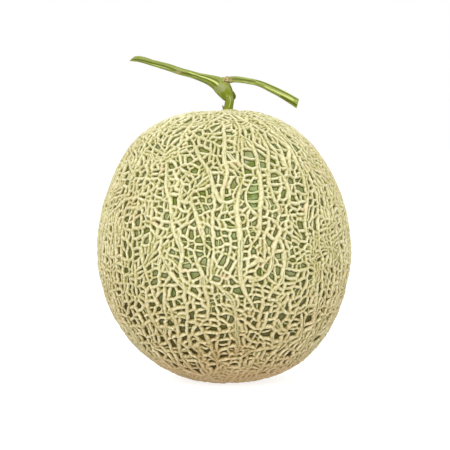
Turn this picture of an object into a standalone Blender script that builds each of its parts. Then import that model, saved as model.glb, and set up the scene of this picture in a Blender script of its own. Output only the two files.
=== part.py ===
"""A netted melon as picked: the fruit, its stalk, the cut length of vine and two dried bracts.

Metres, +Z up. The origin is on the surface that the fruit rests on, under the middle of the
fruit, and the vine runs mostly along X. The fruit's solid follows the crests of its net.
"""

import math

import bmesh
import bpy
from mathutils import Matrix, Vector

# --- The fruit ----------------------------------------------------------------------------
FRUIT_RADIUS = 0.0700
STALK_END_HEIGHT = 0.0789
BLOSSOM_END_HEIGHT = 0.0730
# Each end is fuller than an ellipsoid: its radius grows by 1 + FULLNESS * height share ** POWER.
STALK_END_FULLNESS, STALK_END_POWER = 0.19, 4
BLOSSOM_END_FULLNESS, BLOSSOM_END_POWER = 0.13, 4
# A shallow bell-shaped dip flattens the stalk end.
DIP_DEPTH = 0.0017
DIP_RADIUS = 0.0140
FRUIT_LEAN = math.radians(-1.3)
FLAT_SPOT_DEPTH = 0.0009
CENTRE_HEIGHT = BLOSSOM_END_HEIGHT - FLAT_SPOT_DEPTH
FRUIT_RINGS = 34
FRUIT_SEGMENTS = 64

# --- The stem -----------------------------------------------------------------------------
PIECE_GAP = 0.0003
TUBE_SIDE_RESOLUTION = 4
TUBE_STEPS = 3
# Routes run through (x, y, z, radius of the tube there).
VINE_ROUTE = (
    (-0.0508, 0.0040, 0.1786, 0.00125),
    (-0.0399, 0.0032, 0.1765, 0.00155),
    (-0.0310, 0.0022, 0.1743, 0.00190),
    (-0.0188, 0.0010, 0.1700, 0.00188),
    (-0.0078, 0.0002, 0.1671, 0.00215),
    (0.0022, 0.0000, 0.1665, 0.00190),
    (0.0089, -0.0003, 0.1667, 0.00170),
    (0.0200, -0.0010, 0.1644, 0.00168),
    (0.0268, -0.0016, 0.1614, 0.00170),
    (0.0333, -0.0022, 0.1580, 0.00195),
    (0.0410, -0.0030, 0.1536, 0.00240),
)
STALK_ROUTE = (
    (0.0027, 0.0000, 0.1500, 0.00270),
    (0.0028, 0.0000, 0.1525, 0.00220),
    (0.0030, 0.0000, 0.1555, 0.00245),
    (0.0014, 0.0000, 0.1582, 0.00340),
    (-0.0006, 0.0000, 0.1608, 0.00400),
    (-0.0034, 0.0001, 0.1634, 0.00400),
    (-0.0078, 0.0002, 0.1656, 0.00270),
    (-0.0120, 0.0005, 0.1672, 0.00160),
)

# --- The bracts: (x, y, z), half sizes across X and Y and along the length, lean from upright -
UPPER_BRACT = ((0.0060, -0.0004, 0.1580), (0.00065, 0.00090, 0.00185), math.radians(-8.0))
LOWER_BRACT = ((-0.0006, -0.0008, 0.1518), (0.00045, 0.00070, 0.00090), math.radians(28.0))
BRACT_SEGMENTS, BRACT_RINGS = 14, 8

# --- Finishes: linear colour and roughness ------------------------------------------------
FINISHES = {
    "net_cork": ((0.72, 0.62, 0.36), 0.80),
    "green_stem": ((0.20, 0.30, 0.05), 0.50),
    "dry_bract": ((0.09, 0.11, 0.03), 0.75),
}


def clear_scene():
    """Empties the startup scene."""
    for obj in list(bpy.data.objects):
        bpy.data.objects.remove(obj, do_unlink=True)


def make_collection(name, is_helper=False):
    """A collection in the scene; a helper one holds cutters."""
    made = bpy.data.collections.new(name)
    made.hide_render = is_helper
    bpy.context.scene.collection.children.link(made)
    return made


def move_to(obj, collection):
    """Takes obj out of the collections that hold it and links it to another one."""
    for holder in list(obj.users_collection):
        holder.objects.unlink(obj)
    collection.objects.link(obj)


def make_material(name):
    """A Principled material from FINISHES."""
    colour, roughness = FINISHES[name]
    made = bpy.data.materials.new(name)
    made.use_nodes = True
    shader = made.node_tree.nodes["Principled BSDF"]
    shader.inputs["Base Color"].default_value = (*colour, 1.0)
    shader.inputs["Roughness"].default_value = roughness
    shader.inputs["Metallic"].default_value = 0.0
    return made


def mark_cutter(obj):
    """Shows an object as a wire cutter, which is no part of the melon."""
    obj.hide_render = True
    obj.display_type = "WIRE"
    return obj


def cut(obj, cutter, name):
    """Takes the cutter's shape away from obj."""
    modifier = obj.modifiers.new(name, "BOOLEAN")
    modifier.operation = "DIFFERENCE"
    modifier.solver = "EXACT"
    modifier.object = cutter


def fruit_point(turn):
    """The outline's point at an angle from the stalk end, 0, to the blossom end, pi."""
    share = math.cos(turn)
    if share > 0.0:
        height, fullness, power = STALK_END_HEIGHT, STALK_END_FULLNESS, STALK_END_POWER
        dip = DIP_DEPTH
    else:
        height, fullness, power = BLOSSOM_END_HEIGHT, BLOSSOM_END_FULLNESS, BLOSSOM_END_POWER
        dip = 0.0
    radius = FRUIT_RADIUS * math.sin(turn) * (1.0 + fullness * abs(share) ** power)
    return radius, 0.0, height * share - dip * math.exp(-((radius / DIP_RADIUS) ** 2))


def make_fruit(collection, cutters, material):
    """The fruit: one turned solid, leaning a little, with the small flat spot it rests on."""
    outline = [fruit_point(math.pi * i / FRUIT_RINGS) for i in range(FRUIT_RINGS)]
    outline.append((0.0, 0.0, -BLOSSOM_END_HEIGHT))
    mesh = bpy.data.meshes.new("melon_fruit")
    mesh.from_pydata(outline, [(i, i + 1) for i in range(FRUIT_RINGS)], [])
    mesh.materials.append(material)
    fruit = bpy.data.objects.new("melon_fruit", mesh)
    collection.objects.link(fruit)
    fruit.location = (0.0, 0.0, CENTRE_HEIGHT)
    fruit.rotation_euler = (0.0, FRUIT_LEAN, 0.0)

    turned = fruit.modifiers.new("Turned shape", "SCREW")
    turned.axis = "Z"
    turned.steps = FRUIT_SEGMENTS
    turned.render_steps = FRUIT_SEGMENTS
    turned.use_merge_vertices = True
    turned.merge_threshold = 0.00005
    turned.use_smooth_shade = True

    slab_side = 4.0 * FRUIT_RADIUS
    bpy.ops.mesh.primitive_cube_add(size=slab_side, location=(0.0, 0.0, -slab_side / 2.0))
    slab = mark_cutter(bpy.context.object)
    slab.name = "flat_spot_cutter"
    move_to(slab, cutters)
    cut(fruit, slab, "Flat spot")


def tube_mesh(name, route, extra_radius):
    """A closed mesh tube along a smooth curve through the route."""
    curve = bpy.data.curves.new(name, "CURVE")
    curve.dimensions = "3D"
    curve.bevel_depth = 1.0
    curve.bevel_resolution = TUBE_SIDE_RESOLUTION
    curve.resolution_u = TUBE_STEPS
    curve.use_fill_caps = True
    spline = curve.splines.new("BEZIER")
    spline.bezier_points.add(len(route) - 1)
    for point, (x, y, z, radius) in zip(spline.bezier_points, route):
        point.co = (x, y, z)
        point.handle_left_type = "AUTO"
        point.handle_right_type = "AUTO"
        point.radius = radius + extra_radius
    drawn = bpy.data.objects.new(name + "_curve", curve)
    bpy.context.scene.collection.objects.link(drawn)
    bpy.context.view_layer.update()

    graph = bpy.context.evaluated_depsgraph_get()
    mesh = bpy.data.meshes.new_from_object(drawn.evaluated_get(graph), depsgraph=graph)
    bpy.data.objects.remove(drawn, do_unlink=True)
    shape = bmesh.new()
    shape.from_mesh(mesh)
    bmesh.ops.remove_doubles(shape, verts=shape.verts, dist=0.00001)
    bmesh.ops.recalc_face_normals(shape, faces=shape.faces)
    shape.to_mesh(mesh)
    shape.free()
    return mesh


def make_tube(name, route, collection, material, extra_radius=0.0):
    """An object holding a tube along the route."""
    mesh = tube_mesh(name, route, extra_radius)
    mesh.materials.clear()
    mesh.materials.append(material)
    mesh.shade_smooth()
    mesh.set_sharp_from_angle(angle=math.radians(50.0))
    made = bpy.data.objects.new(name, mesh)
    collection.objects.link(made)
    return made


def make_bract(name, bract, collection, material, extra_size=0.0):
    """A dried bract: a small flattened spindle beside the stalk."""
    place, half_sizes, lean = bract
    bpy.ops.mesh.primitive_uv_sphere_add(segments=BRACT_SEGMENTS, ring_count=BRACT_RINGS, radius=1.0)
    made = bpy.context.object
    made.name = name
    move_to(made, collection)
    size = Matrix.Diagonal([half + extra_size for half in half_sizes] + [1.0])
    turn = Matrix.Rotation(lean, 4, "Y")
    made.data.transform(Matrix.Translation(Vector(place)) @ turn @ size)
    made.data.materials.append(material)
    made.data.shade_smooth()
    return made


def main():
    """Builds the melon."""
    clear_scene()
    parts = make_collection("netted_melon")
    cutters = make_collection("cutters", is_helper=True)
    finish = {name: make_material(name) for name in FINISHES}
    green, dry = finish["green_stem"], finish["dry_bract"]

    make_fruit(parts, cutters, finish["net_cork"])
    make_tube("vine", VINE_ROUTE, parts, green)
    stalk = make_tube("fruit_stalk", STALK_ROUTE, parts, green)
    make_bract("dry_bract_upper", UPPER_BRACT, parts, dry)
    make_bract("dry_bract_lower", LOWER_BRACT, parts, dry)

    # The stalk is saddled round the vine and notched for the bracts, each with a small gap.
    saddle = make_tube("vine_cutter", VINE_ROUTE, cutters, green, PIECE_GAP)
    cut(stalk, mark_cutter(saddle), "Vine saddle")
    for name, bract in (("upper_notch_cutter", UPPER_BRACT), ("lower_notch_cutter", LOWER_BRACT)):
        cut(stalk, mark_cutter(make_bract(name, bract, cutters, dry, PIECE_GAP)), name)


main()
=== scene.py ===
"""Looks of a netted melon with its T-shaped stem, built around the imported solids.

The rind is one surface in six patches. Its net grows like the net of a real melon: the skin
cracks lengthways first, the pieces between crack across, and cork fills every crack and
stands out as a ridge. The stem's pieces are tubes carried along their routes.
"""

import logging
import math
from dataclasses import dataclass, field
from enum import Enum, IntEnum
from typing import Dict, List, Optional, Sequence, Tuple, Union

import bpy
import numpy as np
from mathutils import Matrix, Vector


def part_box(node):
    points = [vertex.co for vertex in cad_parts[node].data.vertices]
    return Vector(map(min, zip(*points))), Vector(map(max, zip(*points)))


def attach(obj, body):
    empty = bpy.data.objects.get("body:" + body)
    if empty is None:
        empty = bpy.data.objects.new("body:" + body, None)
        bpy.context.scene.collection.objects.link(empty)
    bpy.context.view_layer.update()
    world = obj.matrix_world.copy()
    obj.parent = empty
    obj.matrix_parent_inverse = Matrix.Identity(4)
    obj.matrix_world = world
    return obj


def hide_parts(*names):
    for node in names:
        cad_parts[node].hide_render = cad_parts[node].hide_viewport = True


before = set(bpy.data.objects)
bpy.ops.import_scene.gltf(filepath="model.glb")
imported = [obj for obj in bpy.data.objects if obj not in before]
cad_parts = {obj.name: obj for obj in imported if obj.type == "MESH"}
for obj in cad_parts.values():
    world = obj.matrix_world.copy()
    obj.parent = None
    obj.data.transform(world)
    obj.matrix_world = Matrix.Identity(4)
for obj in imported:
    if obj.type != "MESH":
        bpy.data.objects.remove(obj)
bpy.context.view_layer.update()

Array = np.ndarray
Colour = Triple = Tuple[float, float, float]
Spot = Tuple[float, float]
Outline = List[Spot]
Routes = Tuple[Tuple[Triple, ...], ...]
Material = bpy.types.Material
Piece = bpy.types.Object
BODY = "root"
MM = 0.001
LOG = logging.getLogger("melon")
# Tones of the net's young green ridges: those that grew, and the rungs across a clearing.
YOUNG_TONE = -2.0
RUNG_TONE = -3.0


class NoiseSeed(IntEnum):
    """Seeds of the lattice noises, one for each use."""

    SWELLING = 5
    MEANDER = 11
    WOBBLE = 31
    ROUGH_CORK = 41
    SKIN_SWELL = 51
    SPLIT = 61
    STEM_LUMPS = 71
    SCAR_KNOBS = 81
    COLLAR = 91


# --- Noise and small formulas ---
def lattice_noise(points: Array, size: float, seed: int, octaves: int = 1) -> Array:
    """Smooth noise from -1 to 1 over space.

    Random values stand on a cubic lattice and are blended between its corners with the
    quintic fade 6t^5 - 15t^4 + 10t^3. Each further octave is half the size and half as strong.

    Args:
        points: Positions, (n, 3), in metres.
        size: Edge of a lattice cube in metres.
        seed: Seed of the lattice.
        octaves: Number of layers.

    Returns:
        One value for each point.
    """
    cells = 32
    total, weight = np.zeros(len(points)), 0.0
    for octave in range(octaves):
        random = np.random.default_rng(seed + 1000 * octave)
        lattice = random.uniform(-1.0, 1.0, (cells, cells, cells))
        spot = points / size * 2**octave + random.uniform(0.0, cells, 3)
        corner = np.floor(spot).astype(np.int64)
        part = spot - corner
        fade = part**3 * (part * (part * 6.0 - 15.0) + 10.0)
        layer = np.zeros(len(points))
        for step in np.ndindex(2, 2, 2):
            share = np.prod(np.where(step, fade, 1.0 - fade), axis=1)
            layer += share * lattice[tuple((corner + step).T % cells)]
        total += layer * 0.5**octave
        weight += 0.5**octave
    return total / weight


def smooth_step(value: Array, low: float, high: float) -> Array:
    """0 below low, 1 above high and 3t^2 - 2t^3 between them."""
    part = np.clip((value - low) / (high - low), 0.0, 1.0)
    return part * part * (3.0 - 2.0 * part)


def smooth_route(points: Array, steps: int) -> Array:
    """A Catmull-Rom curve through points, each span cut in equal steps.

    Args:
        points: Route points with any number of columns, (n, k).
        steps: Steps a span.

    Returns:
        Points on the curve, ((n - 1) * steps + 1, k).
    """
    padded = np.vstack([2.0 * points[0] - points[1], points, 2.0 * points[-1] - points[-2]])
    spans = len(points) - 1
    place = np.linspace(0.0, spans, spans * steps + 1)
    span = np.minimum(place.astype(int), spans - 1)
    t = (place - span)[:, None]
    before, start, end, after = (padded[span + k] for k in range(4))
    curve = 2.0 * start + (end - before) * t
    curve += (2.0 * before - 5.0 * start + 4.0 * end - after) * t**2
    curve += (3.0 * start - before - 3.0 * end + after) * t**3
    return curve * 0.5


# --- Meshes ---
def build_mesh(name: str, points: Array, faces: Sequence[Array]) -> Piece:
    """A smooth-shaded object from arrays.

    Args:
        name: The object's name.
        points: Vertex positions, (n, 3).
        faces: Arrays of corner indices, each with three or four columns.

    Returns:
        The object, linked to the scene.
    """
    mesh = bpy.data.meshes.new(name)
    sizes = np.concatenate([np.full(len(part), part.shape[1]) for part in faces])
    corners = np.concatenate([part.ravel() for part in faces])
    mesh.vertices.add(len(points))
    mesh.vertices.foreach_set("co", np.ascontiguousarray(points, np.float32).ravel())
    mesh.loops.add(len(corners))
    mesh.loops.foreach_set("vertex_index", corners.astype(np.int32))
    mesh.polygons.add(len(sizes))
    starts = np.concatenate([[0], np.cumsum(sizes)[:-1]])
    mesh.polygons.foreach_set("loop_start", starts.astype(np.int32))
    mesh.update(calc_edges=True)
    mesh.validate()
    mesh.shade_smooth()
    made = bpy.data.objects.new(name, mesh)
    bpy.context.scene.collection.objects.link(made)
    return made


def add_attribute(obj: Piece, name: str, values: Array) -> None:
    """Stores one number for each vertex, which materials read by name."""
    layer = obj.data.attributes.new(name, "FLOAT", "POINT")
    layer.data.foreach_set("value", np.ascontiguousarray(values, np.float32).ravel())


def add_map(obj: Piece, coordinates: Array) -> None:
    """Gives the mesh its flat map.

    Args:
        obj: The piece.
        coordinates: One (u, v) for each vertex.
    """
    corners = np.empty(len(obj.data.loops), np.int32)
    obj.data.loops.foreach_get("vertex_index", corners)
    flat = obj.data.uv_layers.new(name="OFBake")
    flat.data.foreach_set("uv", coordinates[corners].astype(np.float32).ravel())


def grid_faces(rows: int, columns: int, closed: bool = False) -> Array:
    """Quads of a grid of vertices.

    Args:
        rows: Rows of vertices.
        columns: Vertices in each row.
        closed: Whether the last column meets the first.

    Returns:
        Four corner indices for each quad.
    """
    row, column = np.meshgrid(
        np.arange(rows - 1), np.arange(columns if closed else columns - 1), indexing="ij"
    )
    after = (column + 1) % columns
    corner = [row * columns + column, row * columns + after]
    corner += [(row + 1) * columns + after, (row + 1) * columns + column]
    return np.stack(corner, axis=-1).reshape(-1, 4)


def dress(obj: Piece, finish: Material, slot: str, *nodes: str) -> None:
    """Puts the finish on a piece, hangs it on the body and hides the CAD nodes that it stands for.

    Args:
        obj: The piece.
        finish: Its material.
        slot: Not used.
        nodes: The CAD nodes that it stands for.
    """
    obj.data.materials.append(finish)
    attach(obj, BODY)
    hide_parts(*nodes)
    obj.data.calc_loop_triangles()
    LOG.info("%s: %d triangles", obj.name, len(obj.data.loop_triangles))


# --- Shader expressions ---
class Field:
    """A shader socket that works in Python expressions; each operator adds a Math node."""

    def __init__(self, graph: "Graph", socket: bpy.types.NodeSocket) -> None:
        """Wraps a socket of the graph."""
        self.graph = graph
        self.socket = socket

    def _math(self, operation: str, *values: "Value") -> "Field":
        """The Math node for an operation on values."""
        inputs = dict(enumerate(values))
        return self.graph.node("ShaderNodeMath", {"operation": operation}, inputs)

    def __add__(self, other: "Value") -> "Field":
        """self + other."""
        return self._math("ADD", self, other)

    __radd__ = __add__

    def __sub__(self, other: "Value") -> "Field":
        """self - other."""
        return self._math("SUBTRACT", self, other)

    def __rsub__(self, other: "Value") -> "Field":
        """other - self."""
        return self._math("SUBTRACT", other, self)

    def __mul__(self, other: "Value") -> "Field":
        """self * other."""
        return self._math("MULTIPLY", self, other)

    __rmul__ = __mul__

    def above(self, low: float, high: float) -> "Field":
        """A smooth step over the value.

        Args:
            low: Where the step is 0.
            high: Where it is 1, above or below low.

        Returns:
            The step, from 0 to 1.
        """
        settings = {"interpolation_type": "SMOOTHSTEP"}
        inputs = {"Value": self, "From Min": low, "From Max": high}
        return self.graph.node("ShaderNodeMapRange", settings, inputs)

    def size(self) -> "Field":
        """The value without its sign."""
        return self._math("ABSOLUTE", self)


Value = Union[Field, float, Sequence[float]]


class Graph:
    """A node tree whose nodes are added by expressions."""

    def __init__(self, tree: bpy.types.NodeTree) -> None:
        """Takes a tree to add nodes to."""
        self.tree = tree

    def node(
        self, kind: str, settings: Dict[str, object], inputs: Dict, output: Union[int, str] = 0
    ) -> Field:
        """Adds a node.

        Args:
            kind: The node's type.
            settings: Its properties, set before its sockets.
            inputs: Values or fields for its sockets, by name or place.
            output: Which output to hand back.

        Returns:
            The output as a field.
        """
        made = self.tree.nodes.new(kind)
        for key, value in settings.items():
            setattr(made, key, value)
        for key, value in inputs.items():
            if isinstance(value, Field):
                self.tree.links.new(value.socket, made.inputs[key])
            else:
                made.inputs[key].default_value = value
        return Field(self, made.outputs[output])

    def attribute(self, name: str) -> Field:
        """A number stored on the mesh's vertices."""
        return self.node("ShaderNodeAttribute", {"attribute_name": name}, {}, "Fac")

    def place(self) -> Field:
        """The position on the piece, in metres."""
        return self.node("ShaderNodeTexCoord", {}, {}, "Object")

    def parts(self, vector: Field) -> Tuple[Field, ...]:
        """The X, Y and Z of a vector.

        Args:
            vector: A position or direction.

        Returns:
            Three numbers.
        """
        split = self.tree.nodes.new("ShaderNodeSeparateXYZ")
        self.tree.links.new(vector.socket, split.inputs[0])
        return tuple(Field(self, socket) for socket in split.outputs)

    def vector(self, x: Value, y: Value, z: Value) -> Field:
        """A vector from its parts."""
        return self.node("ShaderNodeCombineXYZ", {}, {0: x, 1: y, 2: z})

    def noise(self, where: Field, size: float, detail: float = 2.0, seed: float = 0.0) -> Field:
        """Cloudy noise.

        Args:
            where: The position to read it at.
            size: Size of its blobs in metres.
            detail: Number of finer layers.
            seed: Which of the endless noises it is.

        Returns:
            Values from about 0.2 to 0.8.
        """
        settings = {"noise_dimensions": "4D"}
        inputs = {"Vector": where, "W": seed, "Scale": 1.0 / size, "Detail": detail}
        return self.node("ShaderNodeTexNoise", settings, inputs)

    def mix(self, share: Value, first: Value, second: Value) -> Field:
        """Mixes two colours.

        Args:
            share: How much of the second colour there is, from 0 to 1.
            first: A colour or a field of colours.
            second: Another one.

        Returns:
            The mixed colours.
        """
        pair = [(*c, 1.0) if isinstance(c, tuple) else c for c in (first, second)]
        inputs = {"Factor": share, 6: pair[0], 7: pair[1]}
        return self.node("ShaderNodeMix", {"data_type": "RGBA"}, inputs, 2)

    def bump(self, height: Field, distance: float) -> Field:
        """A normal bent by a height from 0 to 1 that stands for distance in metres."""
        inputs = {"Strength": 1.0, "Distance": distance, "Height": height}
        return self.node("ShaderNodeBump", {}, inputs)


class Paint(Graph):
    """A Principled material."""

    def __init__(self, name: str, roughness: float, specular: float = 0.5) -> None:
        """Starts a material.

        Args:
            name: The material's name.
            roughness: Roughness where nothing is linked to it.
            specular: The reflection's level, the same all over.
        """
        self.material = bpy.data.materials.new(name)
        self.material.use_nodes = True
        super().__init__(self.material.node_tree)
        self.shader = self.tree.nodes["Principled BSDF"]
        self.shader.inputs["Roughness"].default_value = roughness
        self.shader.inputs["Specular IOR Level"].default_value = specular

    def finish(self, **sockets: Field) -> Material:
        """Links fields to the shader.

        Args:
            sockets: Fields by socket: base_color, roughness or normal.

        Returns:
            The material.
        """
        names = {"base_color": "Base Color", "roughness": "Roughness", "normal": "Normal"}
        for key, value in sockets.items():
            self.tree.links.new(value.socket, self.shader.inputs[names[key]])
        return self.material


# --- The fruit's form ---
@dataclass(frozen=True)
class FruitForm:
    """The fruit's outer shape, which its net's crests reach: a turned outline, a little tilted.

    Lengths are shares of the radius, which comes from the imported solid.
    """

    radius: float
    stalk_end: float = 1.127
    blossom_end: float = 1.043
    stalk_fullness: float = 0.19
    blossom_fullness: float = 0.13
    power: int = 4
    # How much fuller the +X side is than the mean, at either end.
    stalk_skew: float = -0.064
    blossom_skew: float = 0.10
    dip_depth: float = 0.0243
    dip_radius: float = 0.2
    flat_spot_depth: float = 0.0129
    lean: float = math.radians(-1.3)
    table_size: int = 2001
    # A line of sight is searched from this share of its length on, in this many halvings.
    sight_start: float = 0.85
    sight_halvings: int = 24

    def outline(self, turn: Array, side: Union[Array, float] = 0.0) -> Tuple[Array, Array]:
        """Radius and height of the outline at an angle from the stalk end.

        The outline is an ellipse whose radius is 1 + fullness * |cos|^power times as large, so
        both ends are fuller, with a bell-shaped dip taken from the stalk end's height.

        Args:
            turn: Angles from 0 at the stalk end to pi at the blossom end.
            side: Cosine of the longitude, from which the fullness takes its skew.

        Returns:
            Radius and height above the fruit's middle, in metres.
        """
        share = np.cos(turn)
        upper = share > 0.0
        end = np.where(upper, self.stalk_end, self.blossom_end)
        fullness = np.where(
            upper,
            self.stalk_fullness + self.stalk_skew * side,
            self.blossom_fullness + self.blossom_skew * side,
        )
        radius = np.sin(turn) * (1.0 + fullness * np.abs(share) ** self.power)
        dip = np.where(upper, self.dip_depth, 0.0) * np.exp(-((radius / self.dip_radius) ** 2))
        return radius * self.radius, (end * share - dip) * self.radius

    def place(self, turn: Array, longitude: Array) -> Array:
        """Points of the upright shape, (n, 3), from turns and longitudes."""
        radius, height = self.outline(turn, np.cos(longitude))
        return np.stack([radius * np.cos(longitude), radius * np.sin(longitude), height], -1)

    def turn_of(self, points: Array) -> Tuple[Array, Array]:
        """Looks up where points near the upright shape lie on it.

        Args:
            points: Their positions, (n, 3).

        Returns:
            Their turns from the stalk end and their longitudes.
        """
        turn = np.linspace(0.0, math.pi, self.table_size)
        radius, height = self.outline(turn)
        tilt = np.arctan2(np.hypot(points[:, 0], points[:, 1]), points[:, 2])
        longitude = np.arctan2(points[:, 1], points[:, 0])
        return np.interp(tilt, np.arctan2(radius, height), turn), longitude

    def seat(self, points: Array) -> Array:
        """Moves points of space onto the upright shape."""
        return self.place(*self.turn_of(points))

    def arc_table(self) -> Tuple[Array, Array, Array]:
        """Measures the outline.

        Returns:
            Turn, arc length from the stalk end and radius at points along it.
        """
        turn = np.linspace(0.0, math.pi, self.table_size)
        radius, height = self.outline(turn)
        steps = np.hypot(np.diff(radius), np.diff(height))
        return turn, np.concatenate([[0.0], np.cumsum(steps)]), radius

    def stand(self, points: Array) -> Array:
        """Tilts the upright shape about Y and sets it on the floor.

        x' = x cos(lean) + z sin(lean), z' = z cos(lean) - x sin(lean) + the middle's height.

        Args:
            points: Points of the upright shape, with x, y, z last.

        Returns:
            The same points of the standing fruit, none below the floor.
        """
        x, y, z = np.moveaxis(points, -1, 0)
        cosine, sine = math.cos(self.lean), math.sin(self.lean)
        middle = (self.blossom_end - self.flat_spot_depth) * self.radius
        height = z * cosine - x * sine + middle
        return np.stack([x * cosine + z * sine, y, np.maximum(height, 0.0)], -1)

    def lift(self, points: Array) -> Array:
        """Undoes stand.

        Args:
            points: Points of the standing fruit.

        Returns:
            The same points of the upright shape.
        """
        x, y, z = np.moveaxis(points, -1, 0)
        cosine, sine = math.cos(self.lean), math.sin(self.lean)
        height = z - (self.blossom_end - self.flat_spot_depth) * self.radius
        return np.stack([x * cosine - height * sine, y, height * cosine + x * sine], -1)

    def seen_from(self, eye: Array, targets: Array) -> Array:
        """Points of the upright shape where lines of sight first meet the fruit.

        Each line runs from the eye to a target inside the fruit. The part of it that holds the
        crossing is halved again and again.

        Args:
            eye: Where the lines start, beside the standing fruit.
            targets: Where they lead, (n, 3).

        Returns:
            One point for each target.
        """
        near, far = np.full(len(targets), self.sight_start), np.ones(len(targets))
        for _ in range(self.sight_halvings):
            share = (near + far) / 2.0
            spot = self.lift(eye + (targets - eye) * share[:, None])
            outside = np.linalg.norm(spot, axis=1) > np.linalg.norm(self.seat(spot), axis=1)
            near, far = np.where(outside, share, near), np.where(outside, far, share)
        return self.seat(self.lift(eye + (targets - eye) * near[:, None]))


# --- The net ---
@dataclass
class Crack:
    """One straight crack of the growing skin, with the junctions that lie on it.

    Places are (x, s): x is the longitude times the fruit's radius, s the arc length from the
    stalk end, both in metres.
    """

    start: Array
    end: Array
    half_width: float
    junctions: List[Tuple[float, int]]


@dataclass(frozen=True)
class Corner:
    """A corner of a piece of skin, with the crack that its next edge lies on.

    shift is how much further round the fruit x is counted here than on the crack.
    """

    x: float
    s: float
    crack: int
    shift: float


@dataclass
class NetPaths:
    """The finished net as short straight stretches.

    start and end are points of the upright shape, half_width is a stretch's own, and path
    numbers its crack or guide. tone has one value for each path: -1 to 1 on common ridges,
    YOUNG_TONE or RUNG_TONE on young ones.
    """

    start: Array
    end: Array
    half_width: Array
    path: Array
    tone: Array


@dataclass(frozen=True)
class FrontRidges:
    """The thick ridges that stand out on the front.

    A route has rows of across, up and half width in millimetres, as they look from the front
    in the upright plane through the fruit's middle.
    """

    eye: Array
    routes: Routes = (
        ((7, 137, 0.8), (12, 134, 1.2), (15, 131, 1.4), (18, 125, 1.5), (19, 119, 1.5),
         (20, 112, 1.5), (21, 103, 1.5), (20, 95, 1.5), (20, 87, 1.4), (19, 81, 1.2),
         (16, 76, 0.8)),
        ((10, 111, 0.8), (8, 103, 1.3), (7, 95, 1.5), (8, 87, 1.7), (9, 79, 1.7), (9, 70, 1.6),
         (9, 60, 1.5), (10, 54, 1.5), (12, 48, 1.4), (15, 43, 1.2), (16, 41, 0.8)),
        ((-17, 133, 0.8), (-14, 125, 1.2), (-9, 117, 1.3), (-7, 111, 1.2), (-5, 105, 1.3),
         (-3, 101, 1.3), (0, 99, 1.2), (3, 99, 1.1), (7, 101, 0.8)),
        ((-18, 99, 0.8), (-16, 93, 1.4), (-14, 87, 1.6), (-12, 81, 1.3), (-11, 76, 0.8)),
        ((-17, 71, 0.8), (-15, 65, 1.3), (-12, 58, 1.4), (-11, 51, 1.3), (-9, 44, 1.2),
         (-9, 36, 0.8)),
        ((-32, 122, 0.8), (-32, 115, 1.4), (-32, 107, 1.5), (-30, 99, 1.4), (-29, 89, 1.4),
         (-28, 83, 1.4), (-25, 76, 1.3), (-23, 72, 0.8)),
        ((-23, 109, 1.3), (-24, 105, 1.3), (-24, 101, 0.9)),
        ((-35, 70, 0.8), (-32, 64, 1.3), (-29, 58, 1.4), (-25, 54, 1.4), (-20, 49, 1.3),
         (-15, 46, 1.2), (-11, 44, 0.8)),
        ((-8, 55, 0.8), (-4, 53, 1.2), (0, 49, 1.4), (4, 45, 1.5), (6, 39, 1.4), (7, 32, 1.3),
         (7, 25, 1.2), (8, 19, 1.2), (7, 13, 0.8)),
        ((-12, 28, 0.8), (-9, 22, 1.4), (-6, 15, 1.4), (-3, 9, 0.8)),
        ((32, 83, 0.8), (29, 78, 1.2), (27, 70, 1.4), (26, 62, 1.4), (22, 57, 1.3), (15, 55, 0.9)),
        ((32, 77, 0.8), (34, 69, 1.3), (33, 62, 1.3), (32, 55, 1.4), (27, 50, 1.3), (25, 45, 1.2),
         (29, 44, 1.1), (33, 39, 0.8)),
        ((29, 117, 0.8), (34, 111, 1.3), (36, 105, 1.4), (36, 99, 0.9)),
        ((47, 108, 0.8), (46, 99, 1.3), (45, 89, 1.3), (46, 81, 0.8)),
        ((17, 69, 0.9), (20, 67, 1.3), (23, 66, 0.9)),
        ((19, 114.5, 0.7), (16, 112, 0.9), (13, 106.5, 0.9), (12, 102, 0.95), (13, 98, 0.95),
         (15, 95, 1.0), (17.5, 92.5, 1.0), (20, 90, 0.9)),
    )
    # Rungs: low young ridges across the clearing, which draw no others to them.
    young: Routes = (
        ((14.5, 109.5, 0.55), (17, 109, 0.6), (20, 109.5, 0.6)),
        ((12.5, 105, 0.65), (16, 104.5, 0.7), (20.5, 105.5, 0.7)),
        ((12, 100, 0.65), (16, 99.5, 0.75), (20.5, 100, 0.7)),
        ((14, 96, 0.6), (17, 95.5, 0.7), (20.5, 96, 0.65)),
    )
    # Thin ridges across the widest gaps low on the front, which draw no others to them.
    links: Routes = (
        ((-4, 19.5, 0.7), (-1, 18.8, 0.8), (2, 19.5, 0.7)),
        ((-3, 13.6, 0.7), (0, 14.2, 0.8), (3, 14, 0.7)),
        ((-19, 8.6, 0.7), (-17, 7.9, 0.75), (-14.5, 8.4, 0.7)),
        ((-13, 18, 0.7), (-10.5, 17, 0.8), (-8, 17.6, 0.7)),
        ((-10, 10, 0.7), (-7.5, 11, 0.75), (-5, 10, 0.7)),
        ((-19.5, 21, 0.7), (-17, 22.5, 0.75), (-14, 22, 0.7)),
        ((-10, 28, 0.7), (-7, 29.5, 0.75), (-4, 29, 0.7)),
        ((2, 37.5, 0.7), (2.5, 34.5, 0.75), (1.5, 32, 0.7)),
        ((45, 37, 0.7), (48, 36, 0.75), (50, 37, 0.7)),
    )
    # Where the skin between the thick ridges stays bare: across, up and half sizes.
    clearings: Tuple[Tuple[float, float, float, float], ...] = ((16.5, 102.5, 4.0, 9.5),)
    # Where the skin is a fresher green: across, up and how far it reaches.
    fresh: Tuple[Triple, ...] = (
        (16, 103, 9), (-27, 100, 6), (4, 80, 7), (3, 91, 7), (9, 45, 7), (-28, 50, 6), (-23, 57, 6),
        (-1, 104, 6), (30, 105, 5),
    )
    # Points a span on a thick ridge's route and on a thin one's: about a millimetre apart.
    thick_steps: int = 7
    thin_steps: int = 4
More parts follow.
